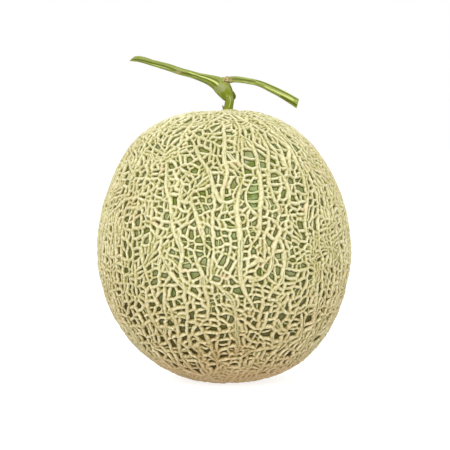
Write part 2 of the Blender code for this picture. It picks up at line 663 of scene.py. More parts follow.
    # How far towards or away from the viewer a place is still the same one.
    same_side: float = 20.0 * MM

    def _lay(self, form: FruitForm, route: Sequence[Sequence[float]], steps: int) -> Array:
        """Lays a route on the upright shape.

        Args:
            form: The fruit's shape.
            route: Rows of across, up and any further columns, in millimetres.
            steps: Points a span.

        Returns:
            Rows of x, y, z and the further columns, in metres.
        """
        rows = smooth_route(np.array(route, float), steps) * MM
        targets = np.stack([rows[:, 0], 0.0 * rows[:, 0], rows[:, 1]], 1)
        return np.column_stack([form.seen_from(self.eye, targets), rows[:, 2:]])

    def guides(self, form: FruitForm) -> List[Array]:
        """The thick ridges, with points about a millimetre apart."""
        return [self._lay(form, route, self.thick_steps) for route in self.routes]

    def thin_guides(self, form: FruitForm) -> List[Array]:
        """The links and then the young ridges, with points about a millimetre apart."""
        return [self._lay(form, route, self.thin_steps) for route in self.links + self.young]

    def bare(self, form: FruitForm, points: Array) -> Array:
        """Finds the points in a clearing, which is an ellipse.

        Args:
            form: The fruit's shape.
            points: Points of the upright shape.

        Returns:
            True for each point in a clearing.
        """
        found = np.zeros(len(points), bool)
        for across, up, half_width, half_height in self.clearings:
            gap = self._gap(form, points, across, up)
            size = np.hypot(gap[:, 0] / half_width, gap[:, 2] / half_height) / MM
            found |= (size < 1.0) & (np.abs(gap[:, 1]) < self.same_side)
        return found

    def freshness(self, form: FruitForm, points: Array) -> Array:
        """How fresh the green of the skin is, by a bell shape of the distance.

        Args:
            form: The fruit's shape.
            points: Points of the upright shape.

        Returns:
            1 at the fresh places, falling to 0 away from them.
        """
        share = np.zeros(len(points))
        for across, up, reach in self.fresh:
            away = np.linalg.norm(self._gap(form, points, across, up), axis=1)
            share = np.maximum(share, np.exp(-((away / (reach * MM)) ** 2)))
        return share

    def _gap(self, form: FruitForm, points: Array, across: float, up: float) -> Array:
        """The way from a place seen from the front to points, both on the standing fruit."""
        middle = self._lay(form, ((across, up), (across, up)), 1)[:1]
        return form.stand(points) - form.stand(middle)


def cut_outline(outline: Outline, point: Spot, direction: Spot) -> Tuple[Outline, Outline, float]:
    """Cuts an outline along a line.

    Args:
        outline: Its corners in order.
        point: A place on the line.
        direction: The way it runs.

    Returns:
        Both parts, and how far from the nearest corner the line crosses the outline.
    """
    sides = [(x - point[0]) * -direction[1] + (y - point[1]) * direction[0] for x, y in outline]
    halves: Tuple[Outline, Outline] = ([], [])
    clear = 1.0
    for here, (x, y) in enumerate(outline):
        after = (here + 1) % len(outline)
        halves[sides[here] >= 0.0].append((x, y))
        if (sides[here] >= 0.0) != (sides[after] >= 0.0):
            share = sides[here] / (sides[here] - sides[after])
            run = (outline[after][0] - x, outline[after][1] - y)
            crossing = (x + run[0] * share, y + run[1] * share)
            clear = min(clear, math.hypot(*run) * min(share, 1.0 - share))
            halves[0].append(crossing)
            halves[1].append(crossing)
    return halves[0], halves[1], clear


def roundness(outline: Outline) -> float:
    """How round an outline is: 4 * pi * area / perimeter^2.

    Args:
        outline: Its corners in order.

    Returns:
        The share, which is 1 for a circle.
    """
    pairs = list(zip(outline, outline[1:] + outline[:1]))
    area = sum(x * v - u * y for (x, y), (u, v) in pairs) / 2.0
    around = sum(math.hypot(u - x, v - y) for (x, y), (u, v) in pairs)
    return 4.0 * math.pi * abs(area) / max(around * around, 1e-18)


@dataclass(frozen=True)
class Wander:
    """Sizes of the chance thick ridges, which run down the fruit and swerve a little."""

    tries: int = 260
    length: Spot = (14.0 * MM, 60.0 * MM)
    half_width: Spot = (1.15 * MM, 1.55 * MM)
    foot_half_width: float = 0.6 * MM
    # How far from either of its ends a ridge thickens.
    taper: Spot = (-2.0 * MM, 8.0 * MM)
    # Shares of the way down: where ridges start, and where they stop at the latest.
    start: Spot = (0.10, 0.92)
    lowest: float = 0.97
    # Degrees: how far off straight down a ridge starts, and how much it turns at each step.
    first_heading: float = 16.0
    swerve: float = 5.0
    steadiness: float = 0.93
    least_squeeze: float = 0.1
    # A ridge starts this clear of others and ends where it comes this close to one.
    room: float = 7.0 * MM
    meeting: float = 1.2 * MM
    least_points: int = 12


@dataclass
class NetGrowth:
    """Grows the net of cracks and turns it into paths on the fruit.

    guides are the thick ridges: x, y, z and half width of points about a millimetre apart on
    the upright shape.
    """

    form: FruitForm
    front: FrontRidges
    seed: int = 7
    # The first cracks run from end to end: how many, where, and how unevenly, as a share.
    strips: int = 5
    first_strip: float = 20.0 * MM
    strip_jitter: float = 0.2
    # Chance cracks compared for each piece of skin.
    tries: int = 10
    # How far from a piece's middle a crack may pass, as a share of the piece's size.
    off_middle: float = 0.14
    # How far from an old junction a new one is welcome, and what that adds to a crack's score.
    clearance: float = 1.7 * MM
    clear_scores: Spot = (0.3, 0.7)
    cell_area: float = 15.8 * MM * MM
    # Mean and spread of the logarithm of a cell's size.
    cell_chance: Spot = (0.25, 0.25)
    # Where the cells are largest: longitude and share of the way down, and how far it reaches.
    open_place: Spot = (math.radians(-87.0), 0.42)
    open_reach: float = 31.0 * MM
    open_gain: float = 0.62
    # Shares of the way down between which the cells grow larger low down, and smaller again.
    base_start: Spot = (0.56, 0.70)
    base_end: Spot = (0.76, 0.87)
    base_gain: float = 1.0
    # Pieces above these areas are judged as if they were this much wider.
    stretches: Tuple[Spot, ...] = (
        (1200.0 * MM * MM, 2.6),
        (200.0 * MM * MM, 1.7),
        (0.0, 1.1),
    )
    base_stretch: float = 0.1
    # Half widths as shares of the plan: everywhere, less in the open, and more near the base.
    width_shares: Triple = (1.16, 0.11, 0.12)
    # How much wider the ridges get towards the base itself, and between which shares down.
    base_closing: float = 0.32
    closing_span: Spot = (0.78, 0.88)
    link_half_width: Spot = (0.95 * MM, 1.15 * MM)
    rung_half_width: Spot = (0.72 * MM, 1.05 * MM)
    young_half_width: Spot = (0.36 * MM, 0.5 * MM)
    # Cracks of pieces above the second area are links, and by chance those above the first.
    link_areas: Spot = (90.0 * MM * MM, 900.0 * MM * MM)
    link_chance: float = 0.5
    # The chance that a finished cell with this share of cell_area still gets a young ridge.
    young_share: float = 0.3
    young_least_cell: float = 0.9
    # Near the ends the fruit counts as at least this share as wide as at its widest.
    least_squeeze: float = 0.02
    step: float = 1.2 * MM
    # How many times the cracks pull on each other, and how much more the wide ones pull.
    rounds: int = 8
    stiffness: float = 1.5
    # Size of a meander and how far it carries the cracks, coarse to fine.
    meanders: Tuple[Spot, ...] = (
        (40.0 * MM, 4.0 * MM),
        (15.0 * MM, 2.2 * MM),
        (6.0 * MM, 1.3 * MM),
        (2.4 * MM, 0.42 * MM),
    )
    guide_reach: float = 2.4 * MM
    guide_gain: float = 1.13
    # How much the ridges swell, over what length, and how they thin at the fruit's ends.
    swelling: float = 0.3
    swelling_size: float = 9.0 * MM
    end_thinning: float = 0.25
    wander: Wander = Wander()
    cracks: List[Crack] = field(default_factory=list)
    nodes: List[Spot] = field(default_factory=list)

    def __post_init__(self) -> None:
        """Works out the tables that the methods share."""
        self.random = np.random.default_rng(self.seed)
        self.turn_table, self.arc_table, self.radius_table = self.form.arc_table()
        self.around = 2.0 * math.pi * self.form.radius
        self.length = float(self.arc_table[-1])
        self.guides = self.front.guides(self.form)

    def squeeze(self, s: Array) -> Array:
        """How much narrower than at the widest part the fruit is at an arc length."""
        return np.interp(s, self.arc_table, self.radius_table) / self.form.radius

    def _node(self, x: float, s: float) -> int:
        """Adds a junction."""
        self.nodes.append((x % self.around, s))
        return len(self.nodes) - 1

    def _crack(self, ends: Sequence[Tuple[float, float, int]], width: Spot) -> int:
        """Adds a crack between two junctions.

        Args:
            ends: x, s and node of either end.
            width: Range of its half width, before the place's own share.

        Returns:
            The crack's number.
        """
        first, last = (np.array(end[:2]) for end in ends)
        half_width = float(self.random.uniform(*width))
        x, s = (first + last) / 2.0
        everywhere, less, more = self.width_shares
        half_width *= everywhere - less * self._openness(x, s) + more * self._baseness(s)
        closing = float(smooth_step(np.array(s / self.length), *self.closing_span))
        half_width *= 1.0 + self.base_closing * closing
        self.cracks.append(Crack(first, last, half_width, [(0.0, ends[0][2]), (1.0, ends[1][2])]))
        return len(self.cracks) - 1

    def _first_strips(self) -> List[List[Corner]]:
        """Cracks the skin from end to end.

        Returns:
            The strips between the cracks.
        """
        jitter = self.random.uniform(-self.strip_jitter, self.strip_jitter, self.strips)
        steps = np.arange(self.strips) + jitter
        places = steps * self.around / self.strips + self.first_strip
        lines = []
        for x in places:
            ends = [(x, s, self._node(x, s)) for s in (0.0, self.length)]
            lines.append(self._crack(ends, self.link_half_width))
        strips = []
        for k, x in enumerate(places):
            after = (k + 1) % self.strips
            shift = self.around if after == 0 else 0.0
            right = places[after] + shift
            strips.append([
                Corner(x, 0.0, -1, 0.0),
                Corner(right, 0.0, lines[after], shift),
                Corner(right, self.length, -1, 0.0),
                Corner(x, self.length, lines[k], 0.0),
            ])
        return strips

    def _openness(self, x: float, s: float) -> float:
        """A bell shape of the distance from the open place.

        Args:
            x: Longitude times the fruit's radius.
            s: Arc length from the stalk end.

        Returns:
            1 at the open place, falling to 0 away from it.
        """
        across = (x - self.open_place[0] * self.form.radius + self.around / 2.0) % self.around
        away = math.hypot(across - self.around / 2.0, s - self.open_place[1] * self.length)
        return math.exp(-((away / self.open_reach) ** 2))

    def _baseness(self, s: float) -> float:
        """0 on the upper fruit and at the base itself, and 1 between them."""
        share = np.array(s / self.length)
        return float(smooth_step(share, *self.base_start) * (1.0 - smooth_step(share, *self.base_end)))

    def _cell_size(self, x: float, s: float) -> float:
        """The area below which a piece stays whole, larger in the open and low on the fruit."""
        gain = self.open_gain * self._openness(x, s) + self.base_gain * self._baseness(s)
        return self.cell_area * (1.0 + gain) * math.exp(self.random.normal(*self.cell_chance))

    def _plan(self, piece: List[Corner]) -> Optional[Tuple[Array, Array, Spot]]:
        """Decides whether and how a piece of skin cracks.

        Of several chance cracks the one that leaves the rounder halves and keeps clearer of
        the corners is taken. Large pieces are judged as if they were wider than they are, so
        they stay tall and narrow.

        Args:
            piece: Its corners in order.

        Returns:
            A point, a direction and the half width's range, or None for a finished cell.
        """
        outline = np.array([(corner.x, corner.s) for corner in piece])
        x, s = outline.T
        cross = x * np.roll(s, -1) - np.roll(x, -1) * s
        doubled = cross.sum()
        if abs(doubled) < 1e-12:
            return None
        middle = np.array([
            ((x + np.roll(x, -1)) * cross).sum(),
            ((s + np.roll(s, -1)) * cross).sum(),
        ])
        middle /= 3.0 * doubled
        narrow = max(float(self.squeeze(middle[1])), self.least_squeeze)
        area = abs(doubled) / 2.0 * narrow
        half_width = self._plan_width(area, float(middle[0]), float(middle[1]))
        if half_width is None:
            return None
        stretch = next(gain for least, gain in self.stretches if area > least)
        stretch += self.base_stretch * self._baseness(float(middle[1]))
        scale = np.array([narrow * stretch, 1.0])
        flat = [(float(u), float(v)) for u, v in (outline - middle) * scale]
        extent = np.ptp(outline, axis=0) * scale
        crowded, roomy = self.clear_scores
        best, choice = -1.0, (middle, np.array([0.0, 1.0]))
        for _ in range(self.tries):
            angle = self.random.uniform(0.0, math.pi)
            spot = self.random.uniform(-self.off_middle, self.off_middle, 2) * extent
            direction = np.array([math.cos(angle), math.sin(angle)])
            *halves, clear = cut_outline(flat, (spot[0], spot[1]), (direction[0], direction[1]))
            score = min(roundness(half) for half in halves if len(half) > 2)
            score *= crowded + roomy * min(1.0, clear / self.clearance)
            if score > best:
                best, choice = score, (middle + spot / scale, direction / scale)
        return choice[0], choice[1], half_width

    def _plan_width(self, area: float, x: float, s: float) -> Optional[Spot]:
        """Chooses the kind of crack for a piece of skin by the piece's size and by chance.

        Args:
            area: The piece's area.
            x: Longitude of its middle times the fruit's radius.
            s: Arc length of its middle from the stalk end.

        Returns:
            The half width's range, or None for a finished cell.
        """
        if area < self._cell_size(x, s):
            small = area < self.young_least_cell * self.cell_area
            if small or self.random.uniform() > self.young_share:
                return None
            return self.young_half_width
        some, all_above = self.link_areas
        if area > all_above or (area > some and self.random.uniform() < self.link_chance):
            return self.link_half_width
        return self.rung_half_width

    def _split(self, piece: List[Corner]) -> List[List[Corner]]:
        """Cracks a piece in two.

        Args:
            piece: Its corners in order.

        Returns:
            Both halves, or nothing if the piece is finished.
        """
        plan = self._plan(piece)
        if plan is None:
            return []
        point, direction, half_width = plan
        across = np.array([-direction[1], direction[0]])
        side = [float((np.array([c.x, c.s]) - point) @ across) for c in piece]
        count = len(piece)
        crossed = [i for i in range(count) if (side[i] >= 0.0) != (side[(i + 1) % count] >= 0.0)]
        if len(crossed) != 2:
            return []
        ends = []
        for i in crossed:
            corner, after = piece[i], piece[(i + 1) % count]
            share = side[i] / (side[i] - side[(i + 1) % count])
            x = corner.x + (after.x - corner.x) * share
            s = corner.s + (after.s - corner.s) * share
            node = self._node(x, s)
            ends.append((x, s, node))
            if corner.crack >= 0:
                parent = self.cracks[corner.crack]
                run = parent.end - parent.start
                along = float((np.array([x - corner.shift, s]) - parent.start) @ run / (run @ run))
                parent.junctions.append((along, node))
        made = self._crack(ends, half_width)
        halves: Tuple[List[Corner], List[Corner]] = ([], [])
        for i, corner in enumerate(piece):
            here = 0 if side[i] >= 0.0 else 1
            halves[here].append(corner)
            if i in crossed:
                x, s, _ = ends[crossed.index(i)]
                halves[here].append(Corner(x, s, made, 0.0))
                halves[1 - here].append(Corner(x, s, corner.crack, corner.shift))
        return [half for half in halves if len(half) > 2]

    def _stretches(self) -> Tuple[Array, Array, Array, Array]:
        """Breaks every crack at its junctions and then into steps.

        Returns:
            Places of all nodes, (n, 2), both node numbers of each stretch, and its crack.
        """
        first, last, path = [], [], []
        for number, crack in enumerate(self.cracks):
            order = [node for _, node in sorted(crack.junctions)]
            pairs = [pair for pair in zip(order[:-1], order[1:]) if pair[0] != pair[1]]
            first += [pair[0] for pair in pairs]
            last += [pair[1] for pair in pairs]
            path += [number] * len(pairs)
        first, last, path = np.array(first), np.array(last), np.array(path)
        nodes = np.array(self.nodes)
        run = self._between(nodes, first, last)
        narrow = self.squeeze((nodes[first, 1] + nodes[last, 1]) / 2.0)
        steps = np.maximum(1, np.round(np.hypot(run[:, 0] * narrow, run[:, 1]) / self.step))
        steps = steps.astype(int)
        edge = np.repeat(np.arange(len(first)), steps)
        index = np.arange(len(edge)) - np.repeat(np.cumsum(steps) - steps, steps)
        inner = len(nodes) + np.cumsum(steps - 1) - (steps - 1)
        start = np.where(index == 0, first[edge], inner[edge] + index - 1)
        end = np.where(index + 1 == steps[edge], last[edge], inner[edge] + index)
        places = np.zeros((len(nodes) + int((steps - 1).sum()), 2))
        places[: len(nodes)] = nodes
        places[start] = nodes[first[edge]] + run[edge] * (index / steps[edge])[:, None]
        return places, start, end, path[edge]

    def _between(self, places: Array, first: Array, last: Array) -> Array:
        """The way from one node to another, the short way round the fruit.

        Args:
            places: Places of all nodes, (n, 2).
            first: Nodes to start from.
            last: Nodes to reach.

        Returns:
            One (x, s) way for each pair.
        """
        run = places[last] - places[first]
        run[:, 0] = (run[:, 0] + self.around / 2.0) % self.around - self.around / 2.0
        return run

    def _relax(self, places: Array, start: Array, end: Array, pull: Array) -> Array:
        """Lets the cracks pull on each other, so that straight junctions open into forks.

        In each round a node moves half way to the mean of its neighbours, weighted by pull.

        Args:
            places: Places of all nodes, (n, 2).
            start: Node at one end of each stretch.
            end: Node at its other end.
            pull: How strongly the stretch pulls.

        Returns:
            The nodes' new places.
        """
        count = len(places)
        fixed = (places[:, 1] <= 0.0) | (places[:, 1] >= self.length - MM)
        total = np.bincount(start, pull, count) + np.bincount(end, pull, count)
        for _ in range(self.rounds):
            run = self._between(places, start, end) * pull[:, None]
            move = np.stack([
                np.bincount(start, run[:, k], count) - np.bincount(end, run[:, k], count)
                for k in range(2)
            ], -1)
            move *= (0.5 / np.maximum(total, 1e-12))[:, None]
            move[fixed] = 0.0
            places = places + move
        return places

    def _on_fruit(self, places: Array) -> Array:
        """Points of the upright shape at (x, s) places."""
        turn = np.interp(places[:, 1], self.arc_table, self.turn_table)
        return self.form.place(turn, places[:, 0] / self.form.radius)

    def _meander(self, points: Array) -> Array:
        """Carries points of the net about by noise of several sizes.

        Args:
            points: Points of the upright shape.

        Returns:
            Other points of it.
        """
        moved = points.copy()
        for k, (size, reach) in enumerate(self.meanders):
            for axis in range(3):
                seed = NoiseSeed.MEANDER + 10 * k + axis
                moved[:, axis] += reach * lattice_noise(points, size, seed)
        return self.form.seat(moved)

    def _swelling(self, points: Array) -> Array:
        """How much wider or narrower than its mean each ridge is.

        Args:
            points: Points of the upright shape.

        Returns:
            One factor for each point.
        """
        noise = lattice_noise(points, self.swelling_size, NoiseSeed.SWELLING, 2)
        away = smooth_step(np.hypot(points[:, 0], points[:, 1]), 0.0, 0.5 * self.form.radius)
        return (1.0 + self.swelling * noise) * (1.0 - self.end_thinning + self.end_thinning * away)

    def _gather(self, points: Array, guide: Array) -> Array:
        """Draws points near a guide onto it, most of all the nearest ones.

        A point at distance d moves by (1 - (d / reach)^2) of the way to the guide.

        Args:
            points: Points of the net.
            guide: Points of the guide.

        Returns:
            The net's points, moved.
        """
        low, high = guide.min(0) - self.guide_reach, guide.max(0) + self.guide_reach
        near = np.flatnonzero(np.all((points > low) & (points < high), axis=1))
        gap = guide[None, :, :] - points[near, None, :]
        distance = np.linalg.norm(gap, axis=2)
        best = distance.argmin(1)
        rows = np.arange(len(near))
        share = np.clip(1.0 - (distance[rows, best] / self.guide_reach) ** 2, 0.0, 1.0)
        moved = points.copy()
        moved[near] += gap[rows, best] * share[:, None]
        return moved

    def _wanderer(self) -> Array:
        """One chance thick ridge, which thins at its ends.

        Returns:
            x, y, z and half width of its points.
        """
        wander, step = self.wander, MM
        count = int(self.random.uniform(*wander.length) / step)
        s = self.random.uniform(*wander.start) * self.length
        x = self.random.uniform(0.0, self.around)
        heading = math.radians(self.random.normal(0.0, wander.first_heading))
        places = np.empty((count, 2))
        for row in places:
            row[:] = x, s
            swerve = math.radians(self.random.normal(0.0, wander.swerve))
            heading = wander.steadiness * heading + swerve
            x += step * math.sin(heading) / max(float(self.squeeze(s)), wander.least_squeeze)
            s = min(s + step * math.cos(heading), wander.lowest * self.length)
        peak = self.random.uniform(*wander.half_width)
        along = np.arange(count) * step
        ends = smooth_step(np.minimum(along, along[-1] - along), *wander.taper)
        foot = wander.foot_half_width
        return np.column_stack([self._on_fruit(places), foot + (peak - foot) * ends])

    def _wander(self) -> None:
        """Adds chance guides wherever there is room, up to where they run into another."""
        taken = np.vstack(self.guides)[:, :3]
        for _ in range(self.wander.tries):
            ridge = self._wanderer()
            near = np.linalg.norm(ridge[:, None, :3] - taken[None], axis=2).min(1, initial=1.0)
            if near[:3].min() < self.wander.room:
                continue
            meets = np.flatnonzero(near < self.wander.meeting)
            ridge = ridge[: meets[0] + 1] if len(meets) else ridge
            if len(ridge) < self.wander.least_points:
                continue
            self.guides.append(ridge)
            taken = np.vstack([taken, ridge[:, :3]])

    def grow(self) -> NetPaths:
        """Grows the whole net.

        Returns:
            Its paths.
        """
        self._wander()
        waiting = self._first_strips()
        while waiting:
            waiting.extend(self._split(waiting.pop()))
        places, start, end, path = self._stretches()
        half_width = np.array([crack.half_width for crack in self.cracks])
        places = self._relax(places, start, end, (half_width / MM)[path] ** self.stiffness)
        points = self._meander(self._on_fruit(places))
        for guide in self.guides:
            points = self._gather(points, guide[:, :3])
        kept = ~self.front.bare(self.form, (points[start] + points[end]) / 2.0)
        first, last = [points[start[kept]]], [points[end[kept]]]
        width, number = [half_width[path[kept]]], [path[kept]]
        guides = self.guides + self.front.thin_guides(self.form)
        count, thick = len(half_width), len(self.guides)
        for k, guide in enumerate(guides):
            first.append(guide[:-1, :3])
            last.append(guide[1:, :3])
            width.append(guide[:-1, 3] * (self.guide_gain if k < thick else 1.0))
            number.append(np.full(len(guide) - 1, count + k))
        start, end = np.vstack(first), np.vstack(last)
        width = np.concatenate(width) * self._swelling((start + end) / 2.0)
        tone = self.random.uniform(-1.0, 1.0, count + len(guides))
        widest_young = self.young_half_width[1] * self.width_shares[0]
        tone[np.flatnonzero(half_width < widest_young)] = YOUNG_TONE
        tone[count + thick + len(self.front.links):] = RUNG_TONE
        LOG.info("net: %d cracks, %d guides, %d stretches", count, len(guides), len(width))
        return NetPaths(start, end, width, np.concatenate(number), tone)


# --- The rind ---
class Side(Enum):
    """The six patches of the rind: outward direction, then the two directions across."""

    RIGHT = ((1, 0, 0), (0, 1, 0), (0, 0, 1))
    LEFT = ((-1, 0, 0), (0, -1, 0), (0, 0, 1))
    BACK = ((0, 1, 0), (-1, 0, 0), (0, 0, 1))
    FRONT = ((0, -1, 0), (1, 0, 0), (0, 0, 1))
    CROWN = ((0, 0, 1), (1, 0, 0), (0, 1, 0))
    BASE = ((0, 0, -1), (1, 0, 0), (0, -1, 0))


@dataclass
class PatchNet:
    """What the net does at each vertex of a patch.

    edge is the distance from the nearest ridges' crests in half widths, so 1 is the foot of a
    ridge; ridge is their height in metres; half_width and tone are those ridges' own.
    """

    edge: Array
    ridge: Array
    half_width: Array
    tone: Array


@dataclass
class Rind:
    """The fruit's skin and net: six square patches of one surface, like a cube blown round."""

    form: FruitForm
    net: NetPaths
    front: FrontRidges
    steps: int = 280
    margin: int = 6
    relief: float = 1.65 * MM
    least_ridge: float = 0.45 * MM
    # How far below the outer shape the bare skin lies: ridges of middle size reach the shape.
    skin_depth: float = 1.15 * MM
    # How sharply the distances and the heights of meeting ridges merge, and the share of a
    # single ridge's height that the net has at least.
    blend: float = 13.0
    union: float = 6.0
    least_share: float = 0.9
    # Half widths of the lowest and the tallest ridges, and the power of a ridge's section.
    height_widths: Spot = (0.45 * MM, 1.35 * MM)
    section_power: float = 0.68
    # How much the ridges' feet wander in and out, and over what length.
    wobble: Spot = (0.25, 2.2 * MM)
    # How far past a ridge's foot the net is still felt.
    reach: float = 1.0 * MM
    # Least spacing of a patch's grid lines as a share of that at its middle, and how far the
    # stretches it looks at face its way.
    closest: float = 0.68
    facing: float = 0.3
    # Distance, in half widths, that stands for no net nearby.
    bare: float = 3.0
    # Ridges above this half width are searched by themselves, in a wider window.
    thick: float = 1.0 * MM
    # The groove along a wide ridge: depth, reach in half widths, size of its stretches, and the
    # half widths from which it begins and is full.
    groove_depth: float = 0.4 * MM
    groove_reach: float = 0.28
    groove_size: float = 8.0 * MM
    groove_widths: Spot = (1.25 * MM, 1.5 * MM)
    # Distances from the crest, in half widths, between which the cork ends.
    cork_end: Spot = (0.75, 1.05)
    # Height and size of the cork's roughness, the skin's swelling and the collar's unevenness.
    rough: Spot = (0.11 * MM, 0.9 * MM)
    swell: Spot = (0.05 * MM, 7.0 * MM)
    collar_uneven: Spot = (0.7 * MM, 2.5 * MM)
    # Width over which a point's height is compared with its surroundings, in grid steps.
    surround: float = 1.5
    # Where the stalk's foot stands on the upright shape, and the cork collar round it.
    stalk_foot: Spot = (4.2 * MM, 0.0)
    collar: Spot = (3.2 * MM, 6.0 * MM)
    collar_height: float = 0.9 * MM
    # How far the texture map's corners stay inside its square.
    map_inset: float = 0.004
    chunk: int = 3000

    def __post_init__(self) -> None:
        """Measures half of the net's longest stretch."""
        self.longest_half = float(np.linalg.norm(self.net.end - self.net.start, axis=1).max()) / 2.0

    def _angles(self) -> Array:
        """The angles of a patch's grid lines, a few steps past its edges."""
        index = np.arange(-self.margin, self.steps + self.margin + 1)
        return (index / self.steps - 0.5) * (0.5 * math.pi)

    def _directions(self, side: Side) -> Array:
        """Unit directions of a patch's vertices: outward + tan(a) * first + tan(b) * second.

        Args:
            side: The patch.

        Returns:
            A direction for each vertex, (n, n, 3).
        """
        outward, first, second = (np.array(axis, float) for axis in side.value)
        slope = np.tan(self._angles())
        ray = outward + slope[None, :, None] * first + slope[:, None, None] * second
        return ray / np.linalg.norm(ray, axis=2, keepdims=True)

    def _pairs(self, side: Side, points: Array, group: Array) -> Tuple[Array, ...]:
        """Finds the vertices near each stretch of the net.

        A stretch's middle gives its place on the patch's grid, and a square window of vertices
        round it is measured against the stretch.

        Args:
            side: The patch.
            points: Its vertices, (n, n, 3).
            group: Numbers of stretches of about the same width.

        Returns:
            Vertex, path, half width, and distance in half widths of each pair.
        """
        axes = np.array(side.value, float)
        middle = (self.net.start[group] + self.net.end[group]) / 2.0
        turn, longitude = self.form.turn_of(middle)
        outward = np.sin(turn)
        ray = np.stack([outward * np.cos(longitude), outward * np.sin(longitude), np.cos(turn)], 1)
        along = ray @ axes.T
        spacing = 0.5 * math.pi / self.steps
        with np.errstate(divide="ignore", invalid="ignore"):
            column = np.arctan2(along[:, 1], along[:, 0]) / spacing + self.steps / 2 + self.margin
            row = np.arctan2(along[:, 2], along[:, 0]) / spacing + self.steps / 2 + self.margin
        farthest = self.net.half_width[group].max() + self.reach + self.longest_half
        window = int(math.ceil(farthest / (self.closest * self.form.radius * spacing)))
        count = points.shape[0]
        inside = (along[:, 0] > self.facing) & (column > -window) & (column < count + window)
        inside &= (row > -window) & (row < count + window)
        group, column, row = group[inside], column[inside], row[inside]
        offset = np.arange(-window, window + 1)
        rows, columns = (part.ravel() for part in np.meshgrid(offset, offset, indexing="ij"))
        flat = points.reshape(-1, 3)
        found: List[Tuple[Array, ...]] = []
        for begin in range(0, len(group), self.chunk):
            part = slice(begin, begin + self.chunk)
            i = np.round(row[part]).astype(int)[:, None] + rows[None, :]
            j = np.round(column[part]).astype(int)[:, None] + columns[None, :]
            good = (i >= 0) & (i < count) & (j >= 0) & (j < count)
            stretch = np.broadcast_to(group[part][:, None], i.shape)[good]
            vertex = (i * count + j)[good]
            start = self.net.start[stretch]
            run = self.net.end[stretch] - start
            gap = flat[vertex] - start
            length = np.maximum((run * run).sum(1), 1e-14)
            share = np.clip((gap * run).sum(1) / length, 0.0, 1.0)
            away = gap - share[:, None] * run
            width = self.net.half_width[stretch]
            distance = np.sqrt((away * away).sum(1))
            close = distance < width + self.reach
            distance = distance / width
            path = self.net.path[stretch[close]]
            found.append((vertex[close], path, width[close], distance[close]))
        return tuple(np.concatenate(part) for part in zip(*found))

    def _net_on(self, side: Side, points: Array) -> PatchNet:
        """Works out what the net does at each vertex of a patch.

        For each vertex and path only the nearest stretch counts. The distances d of a vertex's
        paths, in half widths, merge into -log(sum of exp(-blend * d)) / blend, a smooth least
        value that rounds the corners where ridges meet. Their heights h merge into
        (sum of h^union)^(1 / union), a smooth greatest value.

        Args:
            side: The patch.
            points: Its vertices, (n, n, 3).

        Returns:
            The net there.
        """
        wide = self.net.half_width >= self.thick
        parts = [self._pairs(side, points, np.flatnonzero(group)) for group in (wide, ~wide)]
        vertex, path, width, distance = (np.concatenate(part) for part in zip(*parts))
        paths, total = len(self.net.tone), points.shape[0] ** 2
        key = vertex.astype(np.int64) * paths + path
        order = np.lexsort((distance, key))
        order = order[np.concatenate([[True], np.diff(key[order]) > 0])]
        vertex, path, width = vertex[order], path[order], width[order]
        much, size = self.wobble
        noise = lattice_noise(points.reshape(-1, 3), size, NoiseSeed.WOBBLE, 2)
        distance = distance[order] * (1.0 + much * noise)[vertex]
        weight = np.exp(-self.blend * distance)
        summed = np.bincount(vertex, weight, total)
        safe = np.maximum(summed, 1e-30)
        bare = summed <= 0.0
        edge = np.where(bare, self.bare, -np.log(safe) / self.blend)
        mean_width = np.bincount(vertex, weight * width, total) / safe
        mean_tone = np.bincount(vertex, weight * self.net.tone[path], total) / safe
        mean_width = np.where(bare, self.net.half_width.min(), mean_width)
        tall = np.bincount(vertex, (self._section(width, distance) / MM) ** self.union, total)
        least = self.least_share * self._section(mean_width, edge)
        ridge = np.maximum(tall ** (1.0 / self.union) * MM, least)
        return PatchNet(np.minimum(edge, self.bare), ridge, mean_width, mean_tone)

    def _section(self, half_width: Array, distance: Array) -> Array:
        """Height of a single ridge.

        Its section is h * (1 - d^2)^section_power with the distance d from 0 at the crest to 1
        at the foot, and h grows with the ridge's width.

        Args:
            half_width: The ridge's half width.
            distance: How far from its crest, in half widths.

        Returns:
            Height in metres.
        """
        size = smooth_step(half_width, *self.height_widths)
        tallest = self.least_ridge + (self.relief - self.least_ridge) * size
        return tallest * (1.0 - np.clip(distance, 0.0, 1.0) ** 2) ** self.section_power

    def _normals(self, points: Array) -> Array:
        """Outward unit normals of a grid of points, from its central differences."""
        normal = np.cross(np.gradient(points, axis=1), np.gradient(points, axis=0))
        return normal / np.linalg.norm(normal, axis=2, keepdims=True)

    def _split(self, net: PatchNet, points: Array) -> Array:
        """How far, 0 to 1, the widest ridges are split by a bell-shaped groove along them.

        Args:
            net: The net on the patch.
            points: The patch's vertices, (n, 3).

        Returns:
            One value for each vertex.
        """
        noise = lattice_noise(points, self.groove_size, NoiseSeed.SPLIT)
        share = smooth_step(noise, 0.0, 0.4)
        share *= smooth_step(net.half_width, *self.groove_widths)
        return share * np.exp(-((net.edge / self.groove_reach) ** 2))

    def _height(self, net: PatchNet, points: Array) -> Array:
        """Height above the bare skin.

        The widest ridges are split. Fine noise roughens the cork, and the skin between swells
        a little.

        Args:
            net: The net on the patch.
            points: The patch's vertices, (n, 3).

        Returns:
            Height in metres.
        """
        ridge = net.ridge - self.groove_depth * self._split(net, points)
        cork = 1.0 - smooth_step(net.edge, *self.cork_end)
        much, size = self.rough
        rough = much * lattice_noise(points, size, NoiseSeed.ROUGH_CORK, 2) * cork
        much, size = self.swell
        return ridge + rough + much * lattice_noise(points, size, NoiseSeed.SKIN_SWELL, 2)

